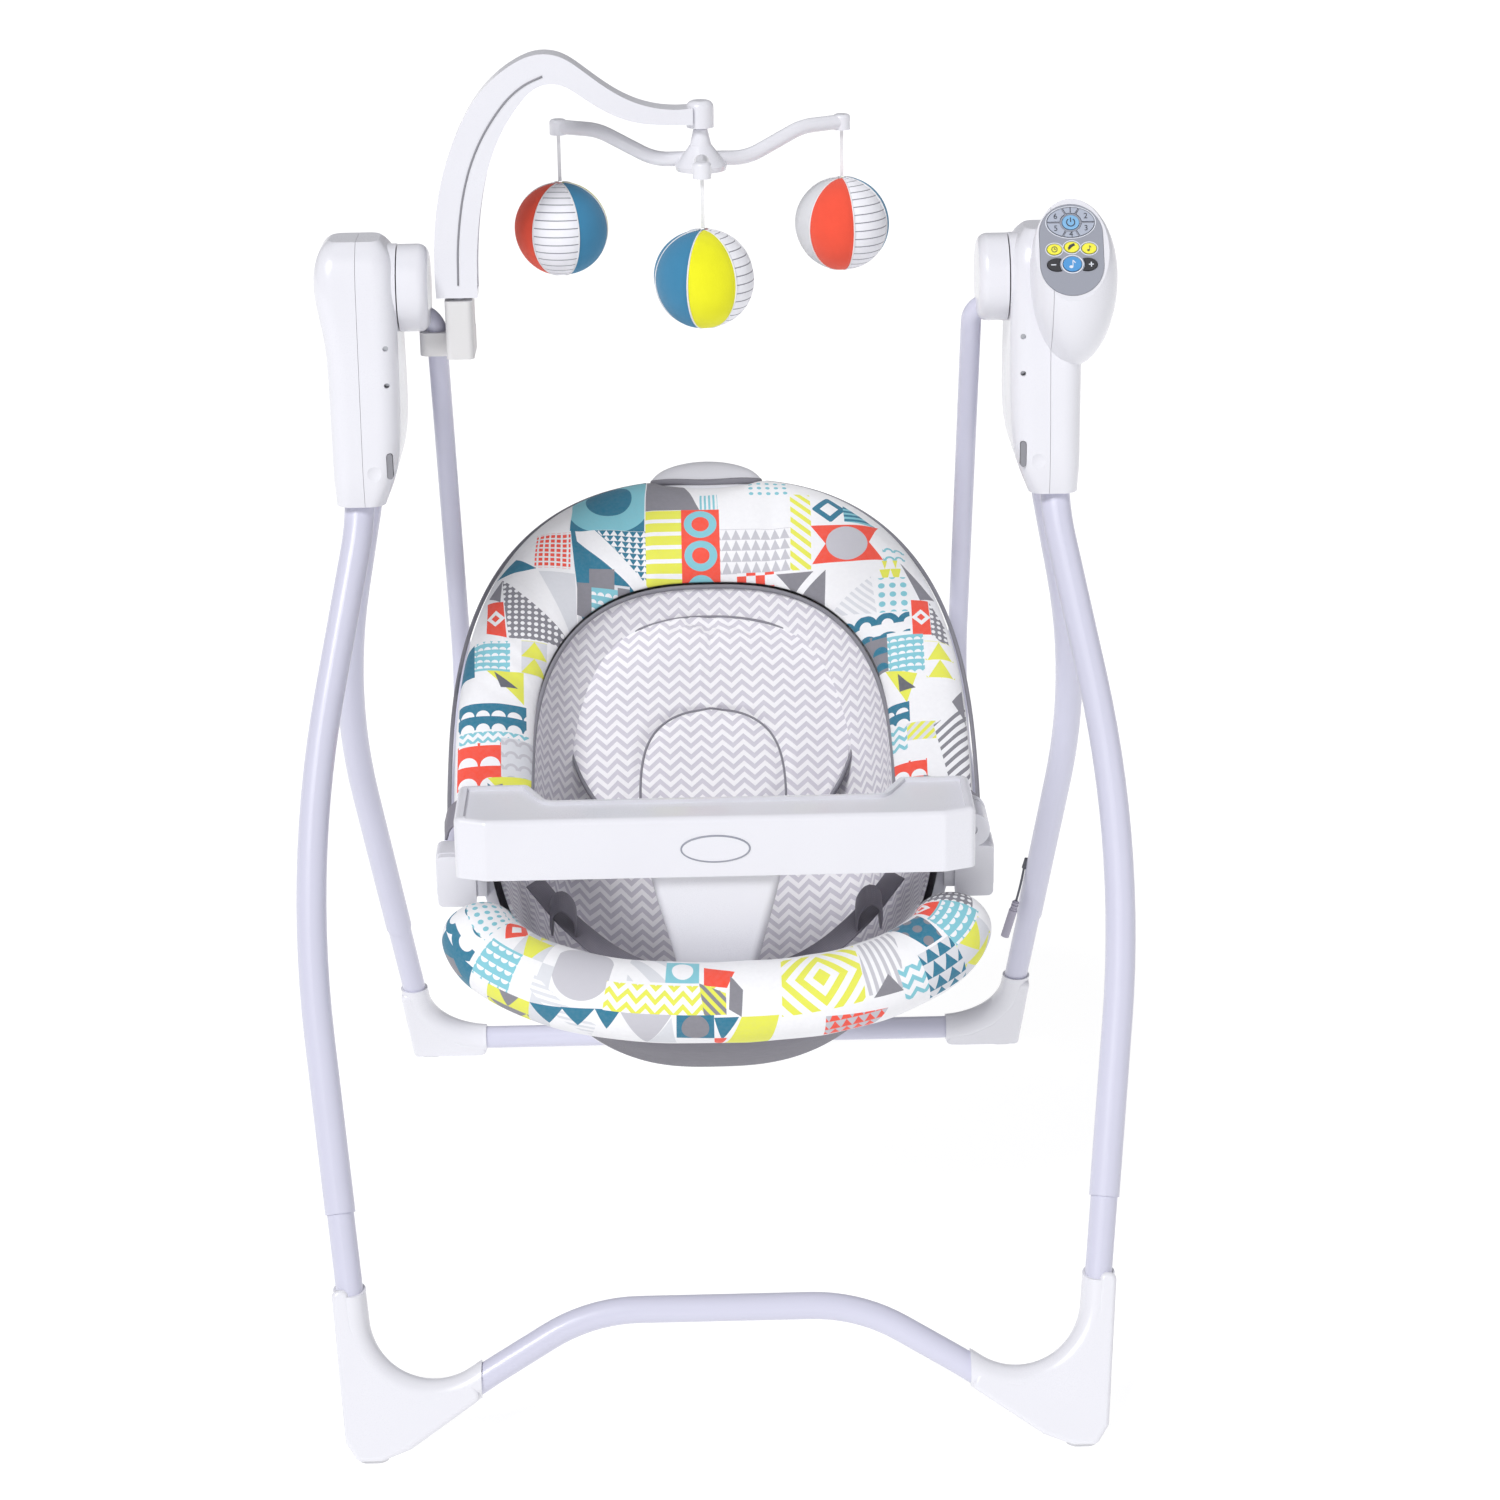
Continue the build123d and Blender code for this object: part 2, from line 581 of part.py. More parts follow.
def mount(with_ear):
    """A tray mount on the seat's rim; the right one carries the hinge pin."""
    block = extrude(YZ.offset(196) * make_face(Polyline(*SIDE_BLOCK, close=True)), 18)
    plate = fillet(box((205, 238), (-151, -143), (392, 438)).edges().filter_by(Axis.Y), 5)
    shape = block + plate
    if with_ear:
        shape += box((206, 234), (-122.5, -113), (441, 456)) + rod((hinge_x, -122.5, hinge_z), (hinge_x, -113, hinge_z), 15)
        shape += box((206, 214), (-122.5, -113), (426, 442))
        shape += rod((hinge_x, -159, hinge_z), (hinge_x, -112, hinge_z), 4)
    return shape


save("tray_mounts", mount(True), mirrored(mount(False)))


# ---------------------------------------------------------------- mobile
ARM_OUTER = [
    (-226, 891), (-225.5, 940), (-218, 988), (-204, 1028), (-179, 1067), (-157, 1085), (-134, 1094), (-116, 1092),
    (-98, 1081), (-75, 1064), (-54, 1053), (-36, 1048), (-6, 1047.5),
]
ARM_INNER = [
    (-6, 1033.5), (-30, 1034), (-56, 1037), (-77, 1045), (-99, 1059), (-118, 1069), (-132, 1068), (-151, 1052),
    (-170, 1021), (-183, 980), (-189.5, 935), (-191, 891),
]
CHANNEL = [(-219, 897), (-218.5, 940), (-211, 986), (-197, 1025), (-174, 1059), (-155, 1075), (-138, 1080)]
ARM_HALF_Y = 13.0
XZ = Plane(origin=(0, 0, 0), x_dir=(1, 0, 0), z_dir=(0, -1, 0))
arm_outline = make_face([
    Spline(*ARM_OUTER), Line(ARM_OUTER[-1], ARM_INNER[0]), Spline(*ARM_INNER), Line(ARM_INNER[-1], ARM_OUTER[0]),
])
channel = make_face([
    Spline(*CHANNEL), Line(CHANNEL[-1], (-112, 1010)), Line((-112, 1010), (-112, 897)), Line((-112, 897), CHANNEL[0]),
])
cap = rod((0, 0, 1029.8), (0, 0, 1052), 11.5)
cap = fillet(cap.edges().sort_by(Axis.Z)[-1], 6)
mobile_arm = extrude(XZ * arm_outline, ARM_HALF_Y, both=True) - extrude(XZ * channel, ARM_HALF_Y - 3, both=True)
mobile_arm = mobile_arm + cap + rod((MOBILE_X + 4, 0, 872), (MOBILE_X + 4, 0, 894), 5)
mobile_arm -= rod((0, 0, 1029), (0, 0, 1040), 3.3)
save("mobile_arm", main_solid(mobile_arm))

BELL = [(0, 994), (21, 994), (22, 998), (15, 1007), (9, 1015), (6, 1028), (3, 1029.4), (3, 1038), (0, 1038)]
spider = revolve(XZ * make_face(Polyline(*BELL, close=True)), Axis.Z)
SPIDER_ARM = [(5, 1003), (45, 999), (100, 1019.8), (143, 1019.8)]
TOYS = {"front": -90, "right": 30, "left": 150}
for side, angle in TOYS.items():
    across = Vector(cos(radians(angle)), sin(radians(angle)), 0)
    spider += bar([tuple(across * r + Vector(0, 0, z)) for r, z in SPIDER_ARM], [60, 60], 6.2)
    tip = across * SPIDER_R
    boss = rod((tip.X, tip.Y, TIP_Z), (tip.X, tip.Y, TIP_Z + 13), 7.5)
    spider += fillet(boss.edges().sort_by(Axis.Z)[-1], 3)
    ribbon_top = (tip.X, tip.Y, TIP_Z - 1.1)
    toy_top = (tip.X, tip.Y, TIP_Z - RIBBON_L)
    save(f"ribbon_{side}", rod(ribbon_top, toy_top, RIBBON_R))
    save(f"toy_{side}", Pos(tip.X, tip.Y, toy_top[2] - TOY_R) * Sphere(TOY_R))
save("mobile_spider", main_solid(spider))
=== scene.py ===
import sys

import json
import math
import random

import bmesh
import bpy
import numpy as np
from mathutils import Matrix, Vector
from mathutils.bvhtree import BVHTree
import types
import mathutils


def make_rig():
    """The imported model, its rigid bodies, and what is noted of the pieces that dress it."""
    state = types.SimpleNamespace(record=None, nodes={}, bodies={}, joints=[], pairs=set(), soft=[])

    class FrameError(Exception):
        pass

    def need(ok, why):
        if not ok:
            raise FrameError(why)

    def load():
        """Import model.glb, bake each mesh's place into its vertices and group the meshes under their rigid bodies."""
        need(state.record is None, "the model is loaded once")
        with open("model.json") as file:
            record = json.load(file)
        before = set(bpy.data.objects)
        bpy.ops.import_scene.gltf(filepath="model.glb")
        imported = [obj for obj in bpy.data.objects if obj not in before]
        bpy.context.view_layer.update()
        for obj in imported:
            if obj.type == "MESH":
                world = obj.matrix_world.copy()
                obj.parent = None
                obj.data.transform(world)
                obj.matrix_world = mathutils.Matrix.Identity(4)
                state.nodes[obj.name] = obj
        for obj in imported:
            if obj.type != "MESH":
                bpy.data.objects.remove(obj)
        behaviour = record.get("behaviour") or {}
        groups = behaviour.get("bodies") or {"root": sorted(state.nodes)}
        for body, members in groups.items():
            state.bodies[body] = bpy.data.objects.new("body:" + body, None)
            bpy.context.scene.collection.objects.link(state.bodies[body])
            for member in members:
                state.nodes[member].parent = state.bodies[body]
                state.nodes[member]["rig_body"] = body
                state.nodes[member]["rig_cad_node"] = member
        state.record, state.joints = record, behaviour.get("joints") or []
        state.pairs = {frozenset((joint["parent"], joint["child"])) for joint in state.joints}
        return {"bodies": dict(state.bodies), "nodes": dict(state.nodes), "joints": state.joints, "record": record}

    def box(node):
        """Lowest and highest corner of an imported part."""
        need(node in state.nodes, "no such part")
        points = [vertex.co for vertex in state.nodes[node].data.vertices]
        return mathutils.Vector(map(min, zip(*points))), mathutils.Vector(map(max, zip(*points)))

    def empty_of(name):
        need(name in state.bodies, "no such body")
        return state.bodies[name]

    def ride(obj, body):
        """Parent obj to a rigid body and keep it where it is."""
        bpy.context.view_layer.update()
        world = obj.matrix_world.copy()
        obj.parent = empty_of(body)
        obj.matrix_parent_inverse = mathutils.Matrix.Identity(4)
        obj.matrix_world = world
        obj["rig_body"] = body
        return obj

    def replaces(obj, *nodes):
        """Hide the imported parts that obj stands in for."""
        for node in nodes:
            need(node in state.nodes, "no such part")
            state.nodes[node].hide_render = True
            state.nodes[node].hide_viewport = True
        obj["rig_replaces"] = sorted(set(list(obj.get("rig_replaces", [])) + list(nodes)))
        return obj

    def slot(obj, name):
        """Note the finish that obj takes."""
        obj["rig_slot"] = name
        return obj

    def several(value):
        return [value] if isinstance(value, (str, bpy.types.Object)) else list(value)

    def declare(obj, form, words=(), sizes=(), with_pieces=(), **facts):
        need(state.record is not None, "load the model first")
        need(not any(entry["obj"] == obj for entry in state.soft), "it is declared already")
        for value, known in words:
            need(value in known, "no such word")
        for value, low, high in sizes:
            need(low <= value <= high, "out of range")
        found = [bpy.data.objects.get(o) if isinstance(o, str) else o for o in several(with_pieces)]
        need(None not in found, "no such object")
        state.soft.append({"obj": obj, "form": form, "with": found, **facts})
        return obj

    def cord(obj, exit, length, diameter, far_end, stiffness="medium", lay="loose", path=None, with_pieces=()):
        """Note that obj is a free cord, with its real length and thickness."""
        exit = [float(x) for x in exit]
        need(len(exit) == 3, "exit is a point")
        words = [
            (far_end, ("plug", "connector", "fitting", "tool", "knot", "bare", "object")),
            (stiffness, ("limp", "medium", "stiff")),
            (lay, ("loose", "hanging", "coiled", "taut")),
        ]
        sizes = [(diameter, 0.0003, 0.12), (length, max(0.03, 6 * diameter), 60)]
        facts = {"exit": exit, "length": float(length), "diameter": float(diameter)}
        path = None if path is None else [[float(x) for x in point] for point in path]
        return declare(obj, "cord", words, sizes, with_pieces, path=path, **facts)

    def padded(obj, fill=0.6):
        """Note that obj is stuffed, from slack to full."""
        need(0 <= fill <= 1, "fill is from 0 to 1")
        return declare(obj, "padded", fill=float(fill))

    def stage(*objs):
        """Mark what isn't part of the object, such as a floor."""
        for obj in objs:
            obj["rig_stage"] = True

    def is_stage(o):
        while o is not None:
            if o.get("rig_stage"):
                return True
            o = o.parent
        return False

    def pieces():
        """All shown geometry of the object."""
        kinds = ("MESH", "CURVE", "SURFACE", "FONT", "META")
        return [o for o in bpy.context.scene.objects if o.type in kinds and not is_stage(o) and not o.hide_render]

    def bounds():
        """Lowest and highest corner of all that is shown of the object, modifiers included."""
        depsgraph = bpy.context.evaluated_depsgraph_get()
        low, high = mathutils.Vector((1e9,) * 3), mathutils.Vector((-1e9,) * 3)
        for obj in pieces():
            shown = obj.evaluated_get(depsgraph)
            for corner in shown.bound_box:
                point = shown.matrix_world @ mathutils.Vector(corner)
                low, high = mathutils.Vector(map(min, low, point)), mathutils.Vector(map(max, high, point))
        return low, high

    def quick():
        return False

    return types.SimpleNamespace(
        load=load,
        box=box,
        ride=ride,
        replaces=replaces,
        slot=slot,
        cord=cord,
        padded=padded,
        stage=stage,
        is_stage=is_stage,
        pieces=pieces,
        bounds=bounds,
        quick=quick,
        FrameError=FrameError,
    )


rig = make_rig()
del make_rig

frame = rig.load()
cad_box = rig.bounds()
NODES = frame["nodes"]
random.seed(7)

# The seat's rim lies in this plane: X across, SEAT_UP up the seat, SEAT_OUT out of it.
SEAT_TILT = math.radians(34)
SEAT_ORIGIN = Vector((0, -0.015, 0.490))
SEAT_UP = Vector((0, math.cos(SEAT_TILT), math.sin(SEAT_TILT)))
SEAT_OUT = Vector((0, -math.sin(SEAT_TILT), math.cos(SEAT_TILT)))
RIM_POWER = 2.6
RIM_MIDDLE = -0.040

# The infant support lies on this plane, on the back of the tub.
BACK_TURN = Matrix.Rotation(math.radians(21.8), 3, "X")
BACK_UP = BACK_TURN @ SEAT_UP
BACK_OUT = BACK_TURN @ SEAT_OUT
BACK_ORIGIN = SEAT_ORIGIN + 0.040 * SEAT_UP - 0.084 * SEAT_OUT

# The control panel's plane.
PANEL_TILT = math.radians(32)
PANEL_CENTRE = Vector((0.307, -0.053, 0.931))
PANEL_UP = Vector((0, math.sin(PANEL_TILT), math.cos(PANEL_TILT)))
PANEL_OUT = Vector((0, -math.cos(PANEL_TILT), math.sin(PANEL_TILT)))


def srgb(code):
    """A linear RGBA colour from a hex code."""
    channels = [int(code[i : i + 2], 16) / 255 for i in (0, 2, 4)]
    linear = [c / 12.92 if c <= 0.04045 else ((c + 0.055) / 1.055) ** 2.4 for c in channels]
    return (*linear, 1.0)


COLOURS = {
    "white": srgb("F3F3F6"),
    "teal": srgb("0E7391"),
    "aqua": srgb("7FC6D4"),
    "coral": srgb("F4492E"),
    "yellow": srgb("E6E84A"),
    "grey": srgb("83828A"),
    "pale": srgb("C4C3CB"),
    "mist": srgb("DADCE2"),
    "dark": srgb("5E6068"),
}


# ---------------------------------------------------------------- shader helpers
class Val:
    """A number per surface point, worked out by Math nodes."""

    def __init__(self, tree, socket):
        self.tree = tree
        self.socket = socket

    def op(self, kind, *others):
        node = self.tree.nodes.new("ShaderNodeMath")
        node.operation = kind
        for slot, value in zip(node.inputs, (self, *others)):
            if isinstance(value, Val):
                self.tree.links.new(value.socket, slot)
            else:
                slot.default_value = value
        return Val(self.tree, node.outputs[0])

    def __add__(self, other):
        return self.op("ADD", other)

    def __sub__(self, other):
        return self.op("SUBTRACT", other)

    def __mul__(self, other):
        return self.op("MULTIPLY", other)

    def __lt__(self, other):
        return self.op("LESS_THAN", other)

    def __gt__(self, other):
        return self.op("GREATER_THAN", other)

    def both(self, other):
        return self.op("MINIMUM", other)

    def either(self, other):
        return self.op("MAXIMUM", other)

    def frac(self, pitch=1.0, shift=0.0):
        return self.op("MULTIPLY_ADD", 1 / pitch, shift).op("FRACT")

    def saw(self, pitch):
        """Distance from the nearest line of a set one pitch apart, from 0 to 0.5."""
        return (self.frac(pitch) - 0.5).op("ABSOLUTE")


def mix(tree, factor, low, high):
    """Mixes two colours, each a colour or a socket."""
    node = tree.nodes.new("ShaderNodeMix")
    node.data_type = "RGBA"
    for slot, value in ((node.inputs[0], factor), (node.inputs[6], low), (node.inputs[7], high)):
        if isinstance(value, Val):
            tree.links.new(value.socket, slot)
        elif isinstance(value, bpy.types.NodeSocket):
            tree.links.new(value, slot)
        else:
            slot.default_value = value
    return node.outputs[2]


def new_material(name):
    material = bpy.data.materials.new(name)
    material.use_nodes = True
    tree = material.node_tree
    return material, tree, tree.nodes["Principled BSDF"]


def coordinate(tree, output="Object"):
    return tree.nodes.new("ShaderNodeTexCoord").outputs[output]


def noise(tree, vector, scale, detail=3.0):
    """A noise value over a vector, whose scale is in features per metre."""
    node = tree.nodes.new("ShaderNodeTexNoise")
    node.inputs["Scale"].default_value = scale
    node.inputs["Detail"].default_value = detail
    tree.links.new(vector, node.inputs["Vector"])
    return Val(tree, node.outputs[0])


def bump(tree, shader, height, strength, distance):
    node = tree.nodes.new("ShaderNodeBump")
    node.inputs["Strength"].default_value = strength
    node.inputs["Distance"].default_value = distance
    tree.links.new(height.socket, node.inputs["Height"])
    tree.links.new(node.outputs[0], shader.inputs["Normal"])


def plastic(name, code, roughness=0.3, coat=0.0, grain=0.3, metallic=0.0, spread=0.05):
    """Moulded plastic, paint or metal: faint shade changes, fine grain and soft gloss variation."""
    material, tree, shader = new_material(name)
    place = coordinate(tree)
    colour = srgb(code)
    darker = [c * (1 - spread) for c in colour[:3]] + [1.0]
    broad = noise(tree, place, 14.0)
    fine = noise(tree, place, 1800.0, 2.0)
    tree.links.new(mix(tree, broad, colour, darker), shader.inputs["Base Color"])
    gloss = fine.op("MULTIPLY_ADD", 0.08, roughness - 0.04) + broad * 0.05
    tree.links.new(gloss.socket, shader.inputs["Roughness"])
    shader.inputs["Metallic"].default_value = metallic
    shader.inputs["Coat Weight"].default_value = coat
    shader.inputs["Coat Roughness"].default_value = 0.12
    bump(tree, shader, fine, grain, 0.00012)
    return material


def print_coordinates(tree):
    """The two flat coordinates of a piece's cloth, in metres, from its UV map."""
    split = tree.nodes.new("ShaderNodeSeparateXYZ")
    tree.links.new(coordinate(tree, "UV"), split.inputs[0])
    return Val(tree, split.outputs[0]), Val(tree, split.outputs[1])


def weave(tree, shader, u, v, thread=0.0009, strength=0.5):
    """Crossing threads as bump, with a broader softness over them."""
    over = u.saw(thread) + v.saw(thread)
    soft = noise(tree, coordinate(tree), 120.0, 4.0)
    bump(tree, shader, over * 0.5 + soft * 1.6, strength, 0.0007)


def cloth_finish(shader):
    shader.inputs["Roughness"].default_value = 0.86
    shader.inputs["Specular IOR Level"].default_value = 0.25
    shader.inputs["Sheen Weight"].default_value = 0.18
    shader.inputs["Sheen Roughness"].default_value = 0.5


def plain_cloth(name, code, thread=0.0009, spread=0.14):
    """Woven cloth of one dye, lighter and darker from thread to thread."""
    material, tree, shader = new_material(name)
    u, v = print_coordinates(tree)
    colour = srgb(code)
    darker = [c * (1 - spread) for c in colour[:3]] + [1.0]
    threads = u.saw(thread).either(v.saw(thread * 1.3)) + noise(tree, coordinate(tree), 60.0)
    tree.links.new(mix(tree, threads - 0.35, colour, darker), shader.inputs["Base Color"])
    cloth_finish(shader)
    weave(tree, shader, u, v, thread)
    return material


def chevron_cloth(name, pitch, height):
    """Pale zigzag stripes woven across the cloth."""
    material, tree, shader = new_material(name)
    u, v = print_coordinates(tree)
    wave = (u.saw(pitch) * pitch * 0.9 + v).frac(height)
    stripe = wave < 0.5
    threads = noise(tree, coordinate(tree), 500.0, 2.0) * 0.35
    pale = mix(tree, threads, srgb("F6F5F8"), srgb("E4E2E9"))
    shade = mix(tree, threads, srgb("D3D0DA"), srgb("C6C3CF"))
    tree.links.new(mix(tree, stripe, pale, shade), shader.inputs["Base Color"])
    cloth_finish(shader)
    weave(tree, shader, u, v, 0.0011, 0.6)
    return material


# ---------------------------------------------------------------- the printed cloth
# Each pattern takes the local coordinates and its sizes in metres, and returns where its first colour is.
def pattern_bars(u, v, pitch, share=0.5):
    return v.frac(pitch) < share


def pattern_columns(u, v, pitch, share=0.5):
    return u.frac(pitch) < share


def pattern_slant(u, v, pitch, share=0.5):
    return (u + v).frac(pitch * 1.414) < share


def pattern_hatch(u, v, pitch, share=0.5):
    return (u - v).frac(pitch * 1.414) < share


def pattern_zigzag(u, v, pitch, height):
    return (u.saw(pitch) * pitch + v).frac(height) < 0.45


def pattern_dots(u, v, pitch, share=0.3):
    across = u.saw(pitch) - 0.5
    up = v.saw(pitch) - 0.5
    return (across * across + up * up) < share * share


def pattern_grid(u, v, pitch, share=0.3):
    return (u.saw(pitch) > 0.5 - share).both(v.saw(pitch) > 0.5 - share)


def pattern_checks(u, v, pitch):
    return (u.frac(pitch * 2) - 0.5) * (v.frac(pitch * 2) - 0.5) > 0.0


def pattern_triangles(u, v, pitch, row):
    return v.frac(row) < u.saw(pitch) * 2.0


def pattern_scales(u, v, pitch):
    across = u.saw(pitch)
    up = v.frac(pitch)
    return (across * across + up * up) > 0.2


def pattern_arches(u, v, pitch, width=0.22):
    across = u.saw(pitch)
    up = v.frac(pitch)
    away = (across * across + up * up).op("SQRT") - 0.42
    return away.op("ABSOLUTE") < width * 0.5


def pattern_ring(u, v, radius, hole=0.0):
    away = (u * u + v * v).op("SQRT")
    return (away < radius).both(away > hole)


def pattern_diamond(u, v, size, hole=0.0):
    away = u.op("ABSOLUTE") + v.op("ABSOLUTE")
    return (away < size).both(away > hole)


def pattern_nested(u, v, pitch):
    return (u.op("ABSOLUTE") + v.op("ABSOLUTE")).frac(pitch) < 0.5


PATTERNS = {name[8:]: value for name, value in list(globals().items()) if name.startswith("pattern_")}


def block(x0, x1, y0, y1):
    return [(x0, y1), (x1, y1), (x1, y0), (x0, y0)]


# Patches in millimetres on the seat's plane: outline, ground colour, then pattern, its colour and sizes.
COVER_PRINT = [
    (block(-127, -58, 223, 300), "teal", "ring", "aqua", 42, 22),
    ([(-57, 300), (-28, 300), (-7, 245), (-57, 245)], "grey", "solid", "grey"),
    (block(-7, 10, 245, 266), "white", "columns", "aqua", 4),
    (block(-57, -24, 160, 245), "yellow", "bars", "white", 14, 0.3),
    (block(-24, 11, 150, 245), "coral", "solid", "coral"),
    (block(-24, 11, 212, 245), "coral", "ring", "aqua", 15, 8),
    (block(-24, 11, 179, 212), "coral", "ring", "aqua", 15, 8),
    (block(-24, 11, 146, 179), "coral", "ring", "aqua", 15, 8),
    (block(-159, -126, 180, 221), "white", "grid", "coral", 5.5, 0.34),
    ([(-126, 223), (-57, 223), (-57, 160), (-120, 160)], "teal", "solid", "teal"),
    ([(-103, 223), (-57, 223), (-57, 168)], "teal", "triangles", "white", 7, 6),
    ([(-122, 223), (-104, 223), (-52, 163), (-56, 152), (-120, 211)], "white", "solid", "white"),
    (block(-119, -72, 122, 166), "mist", "solid", "mist"),
    (block(-109, -86, 162, 181), "grey", "solid", "grey"),
    (block(-120, -107, 134, 166), "grey", "solid", "grey"),
    (block(-107, -83, 134, 162), "white", "scales", "aqua", 7),
    (block(-83, -72, 143, 164), "grey", "solid", "grey"),
    ([(-116, 134), (-83, 134), (-103, 116)], "teal", "solid", "teal"),
    ([(-196, 172), (-178, 194), (-157, 179)], "teal", "solid", "teal"),
    ([(-155, 176), (-122, 175), (-119, 100)], "mist", "solid", "mist"),
    ([(-190, 169), (-118, 100), (-181, 101)], "grey", "dots", "white", 6, 0.32),
    ([(-203, 143), (-187, 141), (-183, 101), (-202, 106)], "coral", "diamond", "white", 9, 4),
    ([(-202, 149), (-190, 169), (-190, 141)], "grey", "solid", "grey"),
    (block(-214, -180, 64, 97), "white", "scales", "aqua", 7),
    ([(-236, 82), (-214, 97), (-212, 58), (-236, 56)], "teal", "solid", "teal"),
    (block(-170, -147, 64, 99), "mist", "triangles", "yellow", 24, 17),
    ([(-201, 64), (-168, 64), (-168, 30)], "yellow", "solid", "yellow"),
    ([(-194, 63), (-173, 46), (-188, 46)], "dark", "solid", "dark"),
    (block(-228, -166, 0, 28), "white", "scales", "teal", 14),
    (block(-226, -164, -19, -2), "white", "zigzag", "aqua", 9, 8),
    (block(-228, -187, -58, -13), "white", "scales", "coral", 20),
    (block(-188, -158, -46, -8), "mist", "arches", "pale", 12),
    ([(-200, -47), (-161, -45), (-162, -72), (-189, -60)], "yellow", "solid", "yellow"),
    ([(-200, -52), (-173, -74), (-198, -74)], "teal", "solid", "teal"),
    (block(36, 80, 262, 282), "white", "dots", "aqua", 8, 0.26),
    (block(11, 77, 177, 222), "white", "triangles", "pale", 9, 11),
    (block(26, 60, 156, 178), "white", "checks", "coral", 8.5),
    ([(78, 262), (97, 262), (94, 176), (75, 177)], "white", "slant", "yellow", 9),
    (block(98, 130, 227, 259), "white", "diamond", "teal", 17, 9),
    ([(128, 250), (157, 223), (127, 227)], "aqua", "bars", "teal", 6),
    (block(95, 160, 181, 223), "coral", "ring", "pale", 19),
    ([(95, 223), (95, 181), (108, 202)], "white", "solid", "white"),
    ([(160, 223), (160, 181), (148, 202)], "white", "solid", "white"),
    ([(62, 175), (96, 174), (78, 157)], "grey", "solid", "grey"),
    ([(107, 174), (105, 133), (84, 154)], "grey", "solid", "grey"),
    (block(160, 182, 180, 200), "white", "arches", "aqua", 10),
    (block(156, 176, 160, 180), "yellow", "triangles", "white", 10, 20),
    (block(152, 182, 122, 160), "white", "dots", "aqua", 10, 0.3),
    ([(176, 177), (207, 138), (192, 134)], "grey", "solid", "grey"),
    ([(108, 131), (148, 163), (152, 122)], "white", "slant", "mist", 6),
    (block(183, 200, 94, 134), "coral", "diamond", "white", 9, 4),
    ([(201, 133), (214, 108), (218, 80), (200, 94)], "grey", "dots", "white", 6, 0.32),
    (block(121, 181, 99, 121), "white", "arches", "teal", 20, 0.3),
    (block(131, 160, 61, 99), "teal", "scales", "grey", 16),
    (block(160, 192, 55, 95), "white", "scales", "aqua", 7),
    (block(193, 220, 46, 87), "white", "triangles", "yellow", 24, 20),
    ([(157, 61), (185, 53), (175, 23)], "yellow", "solid", "yellow"),
    ([(168, 55), (183, 37), (169, 36)], "dark", "solid", "dark"),
    (block(152, 177, 2, 24), "white", "scales", "teal", 12),
    (block(151, 174, -25, 0), "white", "zigzag", "aqua", 9, 9),
    (block(174, 199, -17, 0), "mist", "hatch", "yellow", 6),
    ([(197, -4), (231, 20), (231, -66), (212, -72)], "white", "hatch", "grey", 7, 0.45),
    ([(215, 20), (227, 38), (229, 0)], "grey", "solid", "grey"),
    (block(160, 190, -70, -37), "white", "scales", "coral", 15),
]

